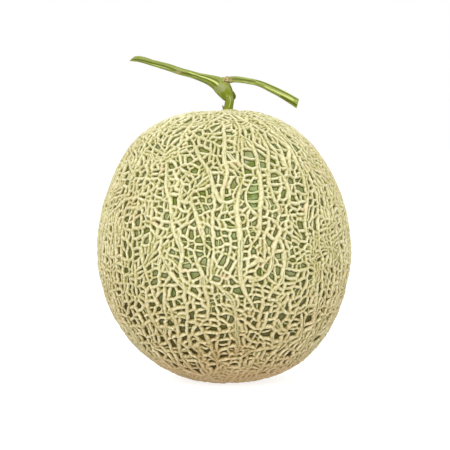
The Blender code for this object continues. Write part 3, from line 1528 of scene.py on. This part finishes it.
    def _collar(self, points: Array) -> Array:
        """The collar of cork round the stalk's foot.

        Args:
            points: The patch's vertices, (n, 3).

        Returns:
            1 at the stalk's foot, falling to 0 where the collar ends.
        """
        away = np.hypot(points[:, 0] - self.stalk_foot[0], points[:, 1] - self.stalk_foot[1])
        much, size = self.collar_uneven
        away = away + much * lattice_noise(points, size, NoiseSeed.COLLAR, 2)
        return (1.0 - smooth_step(away, *self.collar)) * (points[:, 2] > 0.0)

    def _above_surroundings(self, height: Array) -> Array:
        """How far each vertex stands above the bell-weighted mean height round it.

        Args:
            height: The patch's heights, (n, n).

        Returns:
            The difference at each vertex.
        """
        reach = int(math.ceil(2.5 * self.surround))
        offset = np.arange(-reach, reach + 1)
        weight = np.exp(-0.5 * (offset / self.surround) ** 2)
        weight /= weight.sum()
        soft = height
        for axis in (0, 1):
            soft = sum(w * np.roll(soft, k, axis) for w, k in zip(weight, offset))
        return height - soft

    def build(self, finish: Material) -> List[Piece]:
        """Builds the six patches."""
        return [self._build_patch(side, finish) for side in Side]

    def _build_patch(self, side: Side, finish: Material) -> Piece:
        """Builds one patch: the outer shape, less the skin's depth, plus the height.

        Args:
            side: Which patch.
            finish: The material.

        Returns:
            The piece.
        """
        rays = self._directions(side)
        turn = np.arccos(np.clip(rays[..., 2], -1.0, 1.0))
        outer = self.form.place(turn, np.arctan2(rays[..., 1], rays[..., 0]))
        net = self._net_on(side, outer)
        flat = outer.reshape(-1, 3)
        collar = self._collar(flat)
        collar_top = self.skin_depth + self.collar_height
        height = self._height(net, flat) * (1.0 - collar) + collar_top * collar
        height = (height - self.skin_depth).reshape(turn.shape)
        # The finish paints highlight where a vertex stands above its surroundings and shade where it
        # lies below them.
        lift = self._above_surroundings(height)
        relief = self.form.stand(outer + self._normals(outer) * height[..., None])
        normals = self._normals(relief)
        keep = (slice(self.margin, -self.margin),) * 2
        count = self.steps + 1
        name = "rind_" + side.name.lower()
        patch = build_mesh(name, relief[keep].reshape(-1, 3), [grid_faces(count, count)])
        for label, values in (
            ("net_gap", (net.edge * (1.0 - collar) - 1.0) * net.half_width / MM),
            ("net_lift", lift / MM),
            ("ridge_size", net.half_width / MM),
            ("ridge_tone", net.tone),
            ("fresh", self.front.freshness(self.form, flat)),
            ("split", self._split(net, flat)),
        ):
            add_attribute(patch, label, values.reshape(turn.shape)[keep])
        across = np.linspace(self.map_inset, 1.0 - self.map_inset, count)
        add_map(patch, np.stack(np.meshgrid(across, across), -1).reshape(-1, 2))
        patch.data.normals_split_custom_set_from_vertices(normals[keep].reshape(-1, 3).tolist())
        dress(patch, finish, "netted_rind", "melon_fruit")
        return patch


# --- Finishes ---
@dataclass(frozen=True)
class RindFinish:
    """Cork net over green skin. Colours are linear."""

    cork: Colour = (0.425, 0.40, 0.205)
    # Painted highlight: paler cork for raised places and crests.
    cork_painted_highlight: Colour = (0.62, 0.595, 0.41)
    cork_thick: Colour = (0.56, 0.525, 0.31)
    cork_thin: Colour = (0.375, 0.372, 0.135)
    # Painted shade on the cork's sunken places: ridge feet, flanks and creases between ridges.
    cork_painted_shade: Colour = (0.17, 0.148, 0.020)
    # Browner, darker cork: low down partly the ground spot and partly painted shade, at the sides
    # painted shade.
    warm_and_shade: Colour = (0.395, 0.30, 0.145)
    # Painted highlight for the browner cork low down.
    warm_painted_highlight: Colour = (0.62, 0.53, 0.33)
    # Painted shade for the browner cork low down.
    warm_painted_shade: Colour = (0.12, 0.074, 0.006)
    rosy: Colour = (0.60, 0.42, 0.27)
    # Browner, darker cork on the very bottom: partly the ground spot, partly painted shade.
    underside_and_shade: Colour = (0.46, 0.30, 0.155)
    young: Colour = (0.43, 0.46, 0.24)
    # Painted shade for the groove that splits the widest ridges.
    split: Colour = (0.17, 0.19, 0.09)
    skin: Colour = (0.17, 0.185, 0.05)
    skin_pale: Colour = (0.28, 0.31, 0.15)
    skin_vivid: Colour = (0.10, 0.14, 0.010)
    skin_blue: Colour = (0.22, 0.27, 0.11)
    # Near-black brown skin: painted shade low down and at the sides, browner low down for the ground
    # spot.
    skin_brown_and_shade: Colour = (0.042, 0.028, 0.0)
    # Painted shade on the skin at the ridges' feet.
    skin_painted_shade: Colour = (0.016, 0.012, 0.0)
    # Tones between which a ridge goes from cork to young green.
    young_tones: Spot = (-1.4, -2.4)

    def build(self) -> Material:
        """Makes the material; the net comes from the mesh's attributes.

        low is the lower fruit but for its flanks, and beside is the sides of the whole fruit. Both
        turn the colours browner and darker: low down partly the ground spot and partly painted
        shade, at the sides painted shade.

        Returns:
            The material.
        """
        g = Paint("netted_rind", 0.8, 0.12)
        place = g.place()
        across, _, height = g.parts(place)
        aside, gap = across.size(), g.attribute("net_gap")
        fine = g.noise(place, 0.7 * MM, 3.0, 1.0)
        flank = aside.above(0.03, 0.06) * (1.0 - height.above(0.02, 0.05))
        low = (1.0 - height.above(0.01, 0.085)) * (1.0 - flank * 0.6)
        beside = aside.above(0.02, 0.07)
        # Painted shade: the skin darkens towards the feet of the ridges.
        foot = 1.0 - (gap + (fine - 0.5) * 0.3).above(0.0, 0.75)
        # The skin turns browner and darker low down and at the sides: partly the ground spot, partly
        # painted shade.
        skin = self._skin(g, place, low * 0.95 + beside * 0.6)
        skin = g.mix(foot * 0.95, skin, self.skin_painted_shade)
        covered = 1.0 - (gap + (fine - 0.5) * 0.15).above(-0.08, 0.06)
        return g.finish(
            base_color=g.mix(covered, skin, self._cork(g, place, low, beside, fine)),
            roughness=covered * 0.28 + 0.5,
            normal=g.bump(g.noise(place, 0.35 * MM, 3.0, 6.0), 0.2 * MM),
        )

    def _skin(self, g: Paint, place: Field, warm_and_shade: Field) -> Field:
        """Colours the skin in patches of several greens, browner and darker low down and at the sides.

        Args:
            g: The material.
            place: Position on the fruit.
            warm_and_shade: How much browner and darker it is there: partly the ground spot, partly
                painted shade.

        Returns:
            The skin's colour.
        """
        patchy = g.noise(place, 9.0 * MM, 2.0, 2.0).above(0.42, 0.68)
        skin = g.mix(patchy, self.skin, self.skin_pale)
        vivid = g.noise(place, 13.0 * MM, 1.0, 4.0).above(0.60, 0.68)
        skin = g.mix(vivid * 0.9, skin, self.skin_vivid)
        blue = g.noise(place, 11.0 * MM, 1.0, 5.0).above(0.62, 0.70)
        skin = g.mix(blue * 0.7, skin, self.skin_blue)
        leafy = g.noise(place, 5.0 * MM, 1.0, 9.0).above(0.42, 0.58)
        green = g.mix(leafy, self.skin_vivid, self.skin_blue)
        skin = g.mix(g.attribute("fresh").above(0.25, 0.6), skin, green)
        return g.mix(warm_and_shade, skin, self.skin_brown_and_shade)

    def _cork(self, g: Paint, place: Field, low: Field, beside: Field, fine: Field) -> Field:
        """Colours the cork, with painted highlight on raised places and painted shade where it sinks
        into the skin.

        Args:
            g: The material.
            place: Position on the fruit.
            low: Share of the lower fruit's browner, darker tone: partly the ground spot, partly
                painted shade.
            beside: Share of the sides' browner tone and painted shade.
            fine: Fine noise, which frays the edges.

        Returns:
            The cork's colour.
        """
        across, _, height = g.parts(place)
        size, tone = g.attribute("ridge_size"), g.attribute("ridge_tone")
        cork = g.mix((size + tone * 0.12).above(0.55, 0.9), self.cork_thin, self.cork)
        cork = g.mix(size.above(1.15, 1.55), cork, self.cork_thick)
        broad = g.noise(place, 38.0 * MM, 1.0, 3.0)
        # Browner, darker cork low down and at the sides, with broad chance patches: partly the ground
        # spot, partly painted shade.
        warm_and_shade = low * 0.85 + beside * 0.25 + (broad.above(0.5, 0.75) - 0.3) * 0.25
        cork = g.mix(warm_and_shade, cork, self.warm_and_shade)
        raised = g.attribute("net_lift") + (fine - 0.5) * 0.48 + tone * 0.03
        # Painted highlight: the cork turns paler where it stands above its surroundings.
        painted_highlight = g.mix(warm_and_shade, self.cork_painted_highlight, self.warm_painted_highlight)
        cork = g.mix(raised.above(0.08, 0.34) * 0.9, cork, painted_highlight)
        # Painted shade where the cork lies below its surroundings, a little more in the low middle of
        # the fruit.
        belly = (1.0 - across.size().above(0.01, 0.045)) * (1.0 - height.above(0.01, 0.055))
        painted_shade_share = 1.0 - (raised - belly * 0.05).above(-0.2, 0.12)
        cork = g.mix(painted_shade_share * 0.85, cork, g.mix(warm_and_shade, self.cork_painted_shade, self.warm_painted_shade))
        spots, region = g.noise(place, 6.0 * MM, 1.0, 7.0), g.noise(place, 40.0 * MM, 0.0, 8.0)
        cork = g.mix(spots.above(0.66, 0.74) * region * 0.6, cork, self.rosy)
        # The very bottom turns browner and darker: partly the ground spot, partly painted shade.
        cork = g.mix((1.0 - height.above(0.004, 0.02)) * 0.55, cork, self.underside_and_shade)
        cork = g.mix(tone.above(*self.young_tones) * 0.8, cork, self.young)
        # Painted shade in the groove along the split crests of the widest ridges.
        split = (g.attribute("split") + (fine - 0.5) * 0.8).above(0.3, 0.8)
        return g.mix(split * 0.6, cork, self.split)


@dataclass(frozen=True)
class StemFinish:
    """Fresh green stem: painted highlight on its ribs, painted shade in its grooves, a grey bloom and
    a corky scar.
    """

    body: Colour = (0.185, 0.215, 0.035)
    rib: Colour = (0.29, 0.325, 0.08)
    # Painted highlight along the raised strands.
    line: Colour = (0.47, 0.52, 0.17)
    # Painted shade in the sunken strands and the low places of the fine streaks.
    groove: Colour = (0.070, 0.092, 0.001)
    bloom: Colour = (0.22, 0.24, 0.09)
    vivid: Colour = (0.14, 0.17, 0.004)
    rosy: Colour = (0.34, 0.25, 0.12)
    scar: Colour = (0.40, 0.33, 0.16)
    scar_deep: Colour = (0.13, 0.095, 0.02)
    pith: Colour = (0.34, 0.40, 0.14)

    def build(self) -> Material:
        """Makes the material; strands, scar and cut faces come from the mesh's attributes.

        Returns:
            The material.
        """
        g = Paint("green_stem", 0.45, 0.14)
        place = g.place()
        strand, scar, bright = g.attribute("strand"), g.attribute("scar"), g.attribute("bright")
        bloom, vivid = g.attribute("bloom"), g.attribute("vivid")
        fibres = g.vector(g.attribute("along") * 0.07, g.attribute("across"), g.attribute("depth"))
        streaks = g.noise(fibres, 0.6 * MM, 2.0, 1.0)
        bands = g.noise(fibres, 1.4 * MM, 1.0, 4.0)
        patches = g.noise(place, 5.0 * MM, 2.0, 2.0)
        fine = g.noise(place, 0.55 * MM, 2.0, 3.0)
        colour = g.mix(bands.above(0.4, 0.65) * 0.5 + bright * 0.5, self.body, self.rib)
        # Painted shade in the low places of the streaks, which also make the bump.
        colour = g.mix(streaks.above(0.5, 0.35) * 0.5, colour, self.groove)
        colour = g.mix(patches.above(0.5, 0.65) * 0.5, colour, self.bloom)
        colour = g.mix(vivid * (bands.above(0.3, 0.6) * 0.3 + 0.7), colour, self.vivid)
        colour = g.mix(bloom * (streaks.above(0.3, 0.6) * 0.3 + 0.7), colour, self.bloom)
        # Painted shade in the sunken strands and painted highlight on the raised ones.
        ragged = strand + (streaks - 0.5) * 0.5
        colour = g.mix(ragged.above(-0.15, -0.6) * 0.95, colour, self.groove)
        colour = g.mix(ragged.above(0.2, 0.6) * 0.95, colour, self.line)
        colour = g.mix(g.attribute("rosy") * 0.7, colour, self.rosy)
        knobs = g.mix(fine.above(0.4, 0.6), self.scar_deep, self.scar)
        colour = g.mix((scar + (fine - 0.5) * 1.2).above(0.35, 0.6) * 0.95, colour, knobs)
        colour = g.mix(g.attribute("cut"), colour, self.pith)
        normal = g.bump(streaks, 0.15 * MM)
        return g.finish(base_color=colour, normal=normal)


@dataclass(frozen=True)
class BractFinish:
    """Withered bract: dark green going brown."""

    dark: Colour = (0.045, 0.075, 0.004)
    brown: Colour = (0.20, 0.15, 0.06)

    def build(self) -> Material:
        """Makes the material.

        Returns:
            The material.
        """
        g = Paint("dry_bract", 0.75, 0.15)
        mottle = g.noise(g.place(), 0.9 * MM, 3.0, 1.0)
        browned = (mottle + g.attribute("bright") * 0.4).above(0.5, 0.75)
        colour = g.mix(browned, self.dark, self.brown)
        return g.finish(base_color=colour, normal=g.bump(mottle, 0.15 * MM))


@dataclass(frozen=True)
class FloorFinish:
    """Matt studio floor, glowing so bright that the fruit's shadow on it all but vanishes."""

    white: Colour = (0.30, 0.30, 0.30)
    mottle: Colour = (0.28, 0.28, 0.28)
    glow: float = 0.80

    def build(self) -> Material:
        """Makes the material.

        Returns:
            The material.
        """
        g = Paint("studio_white", 0.9, 0.1)
        g.shader.inputs["Emission Color"].default_value = (1.0, 1.0, 1.0, 1.0)
        g.shader.inputs["Emission Strength"].default_value = self.glow
        faint = g.noise(g.place(), 0.4, 1.0)
        return g.finish(base_color=g.mix(faint * 0.02, self.white, self.mottle))


# --- The stem ---
@dataclass(frozen=True)
class Strand:
    """A fine rib or groove that runs along a shoot.

    path holds how far along the shoot, in millimetres, and how far up from the middle of its
    front, in degrees. tone is 1 for a raised rib with painted highlight and -1 for a sunken
    groove with painted shade.
    """

    path: Tuple[Spot, ...]
    half_width: float
    tone: float


class MarkKind(Enum):
    """What a mark on a shoot is; the value names the mesh's attribute."""

    SCAR = "scar"
    BLOOM = "bloom"
    VIVID = "vivid"
    ROSY = "rosy"


@dataclass(frozen=True)
class Mark:
    """An egg-shaped place on the stem that looks unlike the rest. Millimetres."""

    kind: MarkKind
    place: Triple
    reach: Triple
    # Shares of the reach between which the mark fades.
    fade: Spot = (0.65, 1.15)

    def share(self, points: Array) -> Array:
        """1 inside the mark, falling to 0 just outside it."""
        away = np.linalg.norm((points / MM - np.array(self.place)) / np.array(self.reach), axis=-1)
        return 1.0 - smooth_step(away, *self.fade)


@dataclass
class Shoot:
    """A length of stem: an oval section with ribs and strands, carried along a route.

    route holds x, y, z, half width and half depth in metres; the half width lies in the plane
    of the stem, XZ, and the half depth along Y. end_slant tilts the last cut face: how far
    its one side stands out for each unit of half width.
    """

    name: str
    route: Array
    strands: Tuple[Strand, ...] = ()
    marks: Tuple[Mark, ...] = ()
    # 1 where a quarter turn up from the front lies at the start of a ring, -1 at its middle.
    upward: float = 1.0
    bright: float = 0.0
    strand_height: float = 0.13 * MM
    # Length over which a strand fades in or out, half of it past the strand's end.
    strand_fade: float = 4.0 * MM
    scar_height: float = 1.1 * MM
    scar_size: float = 1.1 * MM
    ribs: int = 5
    rib_height: float = 0.06
    rib_turn: float = 0.0
    twist: float = 0.0
    span_steps: int = 14
    around: int = 60
    end_slant: float = 0.0
    # How far back from the last cut face its slant begins, in half widths.
    slant_reach: float = 3.0
    roughening: float = 0.06 * MM
    roughening_size: float = 1.6 * MM
    # Cut face from rim to middle: share of the radius, and how far it stands out in metres.
    cut_rings: Tuple[Spot, ...] = (
        (1.0, 0.0),
        (0.97, 0.10 * MM),
        (0.90, 0.13 * MM),
        (0.78, 0.06 * MM),
        (0.50, -0.12 * MM),
        (0.20, -0.20 * MM),
    )

    def _frames(self, middle: Array) -> Tuple[Array, Array, Array]:
        """Finds the directions that a ring is built in.

        Args:
            middle: Points along the route.

        Returns:
            Direction of travel, in-plane normal and depth direction at each point.
        """
        along = np.gradient(middle, axis=0)
        along /= np.linalg.norm(along, axis=1, keepdims=True)
        depth = np.array([0.0, 1.0, 0.0]) - along * along[:, 1:2]
        depth /= np.linalg.norm(depth, axis=1, keepdims=True)
        return along, np.cross(depth, along), depth

    def _rings(self) -> Tuple[Array, Array, Array]:
        """Lists the rings from one cut face to the other.

        Returns:
            Number of each ring's point on the route, its scale and stand-out, and 1 where it
            is a part of a cut face.
        """
        curve = smooth_route(self.route, self.span_steps)
        rings = len(self.cut_rings)
        row = np.concatenate([
            np.zeros(rings, int), np.arange(len(curve)), np.full(rings, len(curve) - 1)
        ])
        cut = np.array(self.cut_rings)
        body = np.stack([np.ones(len(curve)), np.zeros(len(curve))], 1)
        first = cut[::-1] * np.array([1.0, -1.0])
        mark = np.concatenate([np.ones(rings), np.zeros(len(curve)), np.ones(rings)])
        return row, np.vstack([first, body, cut]), mark

    def _strands(self, travelled: Array, angle: Array) -> Array:
        """Sum of the strands' bell shapes.

        Args:
            travelled: How far along the shoot, in metres.
            angle: How far round it.

        Returns:
            1 on a raised rib with painted highlight, -1 in a sunken groove with painted shade, and 0
            between them.
        """
        total = np.zeros(np.broadcast_shapes(travelled.shape, angle.shape))
        radius = float(self.route[:, 3].mean())
        fade = self.strand_fade / MM / 2.0
        for strand in self.strands:
            at, up = np.array(strand.path).T
            middle = self.upward * np.radians(np.interp(travelled / MM, at, up)) - 0.5 * math.pi
            away = (angle - middle + math.pi) % (2.0 * math.pi) - math.pi
            ends = smooth_step(travelled / MM, at[0] - fade, at[0] + fade)
            ends *= 1.0 - smooth_step(travelled / MM, at[-1] - fade, at[-1] + fade)
            bell = np.exp(-((away * radius / (strand.half_width * MM)) ** 2))
            total += strand.tone * ends * bell
        return total

    def build(self, finish: Material, slot: str, *nodes: str) -> Piece:
        """Builds the shoot.

        A ring's point is middle + normal * a * cos(t) + depth * b * sin(t), with both half
        axes scaled by 1 + rib_height * (ridge - 0.5), where ridge = ((1 + cos(ribs * t)) / 2)^1.5
        turned and twisted along the route, and fine noise added.

        Args:
            finish: The material.
            slot: A slot name, handed on to dress.
            nodes: The CAD nodes that it stands for.

        Returns:
            The piece.
        """
        curve = smooth_route(self.route, self.span_steps)
        row, scale, mark = self._rings()
        middle, half = curve[row, :3], curve[row, 3:]
        frames = self._frames(curve[:, :3])
        along, normal, depth = (axis[row][:, None, :] for axis in frames)
        steps = np.linalg.norm(np.diff(curve[:, :3], axis=0), axis=1)
        length = np.concatenate([[0.0], np.cumsum(steps)])
        angle = np.linspace(0.0, 2.0 * math.pi, self.around, endpoint=False)[None, :]
        travelled = length[row][:, None]
        wave = np.cos(self.ribs * (angle + self.twist * travelled) + self.rib_turn)
        ridge = ((1.0 + wave) / 2.0) ** 1.5
        size = (1.0 + self.rib_height * (ridge - 0.5)) * scale[:, :1]
        across = half[:, :1] * size * np.cos(angle)
        deep = half[:, 1:] * size * np.sin(angle)
        slanted = length[-1] - self.slant_reach * half[-1, 0]
        slant = smooth_step(travelled, slanted, length[-1]) * self.end_slant
        stand_out = scale[:, 1:] + slant * across
        points = middle[:, None, :] + normal * across[..., None] + depth * deep[..., None]
        points = points + along * stand_out[..., None]
        outward = normal * np.cos(angle)[..., None] + depth * np.sin(angle)[..., None]
        flat = points.reshape(-1, 3)
        lump = lattice_noise(flat, self.roughening_size, NoiseSeed.STEM_LUMPS, 3)
        knobs = lattice_noise(flat, self.scar_size, NoiseSeed.SCAR_KNOBS, 2)
        lump, knobs = lump.reshape(ridge.shape), np.abs(knobs).reshape(ridge.shape)
        fields = {kind.value: np.zeros(ridge.shape) for kind in MarkKind}
        for mark_here in self.marks:
            label = mark_here.kind.value
            fields[label] = np.maximum(fields[label], mark_here.share(points))
        fields["strand"] = self._strands(travelled, angle)
        swell = self.roughening * lump + self.strand_height * fields["strand"]
        swell = swell + self.scar_height * fields["scar"] * knobs
        points = points + outward * (swell * (1.0 - mark)[:, None])[..., None]
        radius = float(self.route[:, 3].mean())
        fields["along"] = travelled
        fields["across"] = np.cos(angle) * radius
        fields["depth"] = np.sin(angle) * radius
        fields["cut"] = mark[:, None]
        fields["bright"] = np.full((1, 1), self.bright)
        return self._mesh(points, fields, finish, slot, nodes)

    def _mesh(
        self,
        points: Array,
        fields: Dict[str, Array],
        finish: Material,
        slot: str,
        nodes: Sequence[str],
    ) -> Piece:
        """Closes the rings with two middle points, and stores what the material reads.

        Args:
            points: Ring points, (rings, around, 3).
            fields: The attributes by name, each a value for every ring point.
            finish: The material.
            slot: A slot name, handed on to dress.
            nodes: The CAD nodes that it stands for.

        Returns:
            The piece.
        """
        rings, around = points.shape[:2]
        count = rings * around
        middles = np.stack([points[0].mean(0), points[-1].mean(0)])
        column = np.arange(around)
        after = (column + 1) % around
        last = count - around
        first_fan = np.stack([np.full(around, count), after, column], 1)
        last_fan = np.stack([np.full(around, count + 1), last + column, last + after], 1)
        faces = [grid_faces(rings, around, closed=True), first_fan, last_fan]
        piece = build_mesh(self.name, np.vstack([points.reshape(-1, 3), middles]), faces)
        for label, given in fields.items():
            values = np.broadcast_to(given, (rings, around))
            ends = [values[0].mean(), values[-1].mean()]
            add_attribute(piece, label, np.concatenate([values.ravel(), ends]))
        dress(piece, finish, slot, *nodes)
        return piece


def in_plane(*rows: Tuple[float, float, float, float, float]) -> Array:
    """A route from rows of x, y, z, half width and half depth in millimetres."""
    return np.array(rows) * MM


@dataclass
class Stem:
    """The T-shaped stem: stalk and left vine in one sweep, the right vine, and two bracts."""

    main_route: Array = field(default_factory=lambda: in_plane(
        (2.2, 0.0, 149.7, 3.1, 3.0),
        (2.4, 0.0, 150.9, 2.6, 2.4),
        (2.8, 0.0, 153.3, 2.45, 2.2),
        (3.0, 0.0, 155.5, 2.65, 2.3),
        (2.0, 0.0, 157.9, 3.6, 2.6),
        (0.4, 0.0, 160.6, 4.4, 2.8),
        (-1.6, 0.0, 163.1, 4.65, 2.7),
        (-4.6, 0.1, 165.1, 3.8, 2.5),
        (-8.4, 0.3, 166.7, 2.9, 2.3),
        (-13.3, 0.6, 168.2, 2.2, 2.05),
        (-18.8, 1.0, 169.9, 1.95, 1.85),
        (-24.4, 1.6, 171.4, 2.0, 1.85),
        (-31.0, 2.2, 173.6, 2.0, 1.8),
        (-39.9, 3.2, 176.1, 1.75, 1.65),
        (-44.3, 3.5, 177.5, 1.8, 1.6),
        (-47.7, 3.8, 178.2, 1.7, 1.5),
        (-50.8, 4.0, 178.4, 1.4, 1.3),
    ))
    right_route: Array = field(default_factory=lambda: in_plane(
        (-4.5, 0.0, 166.2, 1.0, 1.0),
        (-2.5, 0.0, 166.3, 1.5, 1.7),
        (0.0, 0.0, 166.4, 1.8, 2.3),
        (2.2, 0.0, 166.5, 1.9, 2.5),
        (5.5, -0.1, 166.9, 1.75, 1.8),
        (8.9, -0.3, 166.7, 1.7, 1.7),
        (14.4, -0.6, 165.8, 1.65, 1.7),
        (20.0, -1.0, 164.4, 1.72, 1.7),
        (26.8, -1.6, 161.3, 2.05, 1.8),
        (33.3, -2.2, 157.9, 2.25, 2.0),
        (40.5, -3.0, 153.5, 2.55, 2.3),
    ))
    main_strands: Tuple[Strand, ...] = (
        Strand(
            ((28.5, 2), (33, -13), (39, -17), (46, -8), (53, -6), (61, -14), (66, -20)), 0.55, -1.25
        ),
        Strand(((16.5, -5), (19.4, 2), (24.2, 8), (30, 12), (34, 15)), 0.34, 1.0),
        Strand(((16.5, 16), (20, 20), (24, 28), (29, 29)), 0.34, -0.9),
        Strand(((16.5, -19), (20, -14), (24, -8), (29, -10)), 0.3, -0.9),
        Strand(((43, -22), (50, -26), (55, -28)), 0.28, 0.85),
        Strand(((43, -40), (50, -44), (56, -47), (64, -44)), 0.28, -0.7),
        Strand(((30, 58), (40, 54), (50, 50), (62, 52)), 0.3, -0.5),
        Strand(((30, -62), (45, -66), (66, -62)), 0.5, 0.55),
        Strand(((0, 62), (7, 60), (13, 55)), 0.45, -0.6),
        Strand(((1, 4), (6, 14), (9, 10)), 0.4, 0.45),
        Strand(((0, 118), (20, 125), (40, 112), (66, 116)), 0.4, 0.6),
        Strand(((0, 158), (30, 166), (66, 160)), 0.42, -0.9),
        Strand(((10, 196), (40, 190), (66, 196)), 0.34, 0.8),
        Strand(((0, 232), (30, 226), (66, 230)), 0.36, -0.8),
    )
    right_strands: Tuple[Strand, ...] = (
        Strand(((9, 4), (16, 3), (22, 8)), 0.6, -1.0),
        Strand(((9, -44), (16, -44), (23, -52)), 0.5, 0.7),
        Strand(((22, 46), (32, 38), (40, 40), (48, 48)), 0.34, -1.0),
        Strand(((27, -10), (38, -6), (46, 8)), 0.45, 0.62),
        Strand(((38, -36), (43, -32), (48, -26)), 0.45, -1.0),
        Strand(((26, -66), (48, -66)), 0.45, 0.5),
        Strand(((4, 108), (24, 116), (48, 108)), 0.4, 0.6),
        Strand(((4, 150), (26, 158), (48, 150)), 0.42, -0.9),
        Strand(((8, 190), (48, 196)), 0.36, 0.8),
        Strand(((4, 226), (30, 232), (48, 228)), 0.38, -0.8),
    )
    marks: Tuple[Mark, ...] = (
        Mark(MarkKind.SCAR, (1.9, -2.2, 166.6), (3.0, 3.0, 2.1)),
        Mark(MarkKind.BLOOM, (-2.2, -2.4, 162.0), (3.4, 3.0, 2.6)),
        Mark(MarkKind.BLOOM, (1.7, -2.6, 157.7), (0.6, 1.0, 0.9)),
        Mark(MarkKind.VIVID, (1.0, -2.4, 159.2), (3.0, 3.4, 3.0)),
        Mark(MarkKind.VIVID, (-0.7, -2.6, 165.4), (1.1, 1.8, 0.8)),
        Mark(MarkKind.VIVID, (2.6, 0.0, 151.8), (6.0, 6.0, 4.0)),
        Mark(MarkKind.ROSY, (-26.4, -0.8, 170.7), (3.2, 1.6, 0.9)),
    )
    upper_bract: Array = field(default_factory=lambda: in_plane(
        (5.0, -0.3, 155.6, 0.2, 0.2),
        (5.4, -0.4, 156.5, 0.8, 0.9),
        (5.6, -0.4, 157.8, 0.8, 1.0),
        (5.3, -0.4, 159.2, 0.55, 0.7),
        (5.0, -0.4, 160.4, 0.10, 0.12),
    ))
    lower_bract: Array = field(default_factory=lambda: in_plane(
        (0.4, -0.8, 150.6, 0.35, 0.5),
        (-0.2, -0.8, 151.0, 0.65, 0.8),
        (-0.6, -0.8, 151.7, 0.5, 0.6),
        (-0.8, -0.8, 152.6, 0.10, 0.1),
    ))

    def build(self, green: Material, dry: Material) -> None:
        """Builds every piece of the stem.

        Args:
            green: The stalk's and the vine's material.
            dry: The bracts' material.
        """
        main = Shoot("stalk_and_left_vine", self.main_route, self.main_strands, self.marks,
                     rib_turn=2.2, twist=9.0, end_slant=-1.0)
        main.build(green, "green_stem", "fruit_stalk", "vine")
        right = Shoot("right_vine", self.right_route, self.right_strands, self.marks,
                      upward=-1.0, bright=0.55, rib_turn=0.6, twist=-9.0, end_slant=0.3)
        right.build(green, "green_stem", "vine")
        bract = dict(ribs=3, rib_height=0.2, around=24, span_steps=6, roughening=0.12 * MM)
        upper = Shoot("dry_bract_upper_leaf", self.upper_bract, **bract)
        upper.build(dry, "dry_bract", "dry_bract_upper")
        lower = Shoot("dry_bract_lower_leaf", self.lower_bract, bright=1.0, **bract)
        lower.build(dry, "dry_bract", "dry_bract_lower")


# --- The studio ---
@dataclass(frozen=True)
class Studio:
    """White floor, even light all round, soft lamps and the camera."""

    aim: Vector
    distance: float
    elevation: float = 3.5
    lens: float = 150.0
    floor_radius: float = 6.0
    # What lights the object from all round; the backdrop itself is seen at full white.
    world_strength: float = 0.31
    # Each lamp: name, strength, where its light comes from, and how wide it looks.
    lamps: Tuple[Tuple[str, float, Triple, float], ...] = (
        ("front", 2.45, (-0.03, -1.0, 0.45), math.radians(28.0)),
        ("above", 1.9, (-0.10, -0.5, 1.0), math.radians(70.0)),
        ("behind", 1.35, (0.0, 1.0, 0.6), math.radians(60.0)),
        ("left_back", 1.35, (-1.0, 0.35, 0.6), math.radians(60.0)),
        ("right_back", 1.05, (1.0, 0.3, 0.6), math.radians(60.0)),
    )

    def eye(self) -> Vector:
        """Where the camera stands."""
        tilt = math.radians(self.elevation)
        return self.aim + Vector((0.0, -math.cos(tilt), math.sin(tilt))) * self.distance

    def build(self) -> None:
        """Sets the whole studio up."""
        self._floor()
        self._world()
        self._lamps()
        self._camera()

    def _floor(self) -> None:
        """Lays a round white floor just under the fruit."""
        angle = np.linspace(0.0, 2.0 * math.pi, 96, endpoint=False)
        rim = np.stack([np.cos(angle), np.sin(angle), 0.0 * angle], 1) * self.floor_radius
        column = np.arange(len(rim))
        fan = np.stack([np.full(len(rim), len(rim)), column, (column + 1) % len(rim)], 1)
        floor = build_mesh("studio_floor", np.vstack([rim, [[0.0, 0.0, 0.0]]]), [fan])
        floor.data.materials.append(FloorFinish().build())

    def _world(self) -> None:
        """Surrounds the scene with white, seen at full strength and lighting at less."""
        world = bpy.data.worlds.new("studio")
        world.use_nodes = True
        g = Graph(world.node_tree)
        seen = g.node("ShaderNodeLightPath", {}, {}, "Is Camera Ray")
        strength = seen * (1.0 - self.world_strength) + self.world_strength
        backdrop = g.tree.nodes["Background"]
        backdrop.inputs["Color"].default_value = (1.0, 1.0, 1.0, 1.0)
        g.tree.links.new(strength.socket, backdrop.inputs["Strength"])
        bpy.context.scene.world = world

    def _lamps(self) -> None:
        """Adds the broad soft lamps."""
        for name, strength, place, width in self.lamps:
            lamp = bpy.data.lights.new(name, "SUN")
            lamp.energy, lamp.angle = strength, width
            hung = bpy.data.objects.new(name, lamp)
            hung.rotation_euler = Vector(place).to_track_quat("Z", "Y").to_euler()
            bpy.context.scene.collection.objects.link(hung)

    def _camera(self) -> None:
        """Places the camera in front, looking a little down."""
        camera = bpy.data.objects.new("camera", bpy.data.cameras.new("camera"))
        camera.data.lens = self.lens
        camera.location = self.eye()
        camera.rotation_euler = (math.radians(90.0 - self.elevation), 0.0, 0.0)
        camera.data.clip_start = 0.01
        bpy.context.scene.collection.objects.link(camera)
        bpy.context.scene.camera = camera


def main() -> None:
    """Builds the fruit, its stem and the studio."""
    logging.basicConfig(level=logging.INFO, format="%(name)s %(message)s")
    low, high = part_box("melon_fruit")
    form = FruitForm(radius=(high[1] - low[1]) / 2.0)
    studio = Studio(aim=Vector((0.0005, 0.0, 0.0863)), distance=1.04)
    front = FrontRidges(np.array(studio.eye()))
    net = NetGrowth(form, front).grow()
    Rind(form, net, front).build(RindFinish().build())
    Stem().build(StemFinish().build(), BractFinish().build())
    studio.build()
    bpy.context.scene.view_settings.view_transform = "Standard"
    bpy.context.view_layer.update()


if __name__ == "__main__":
    main()
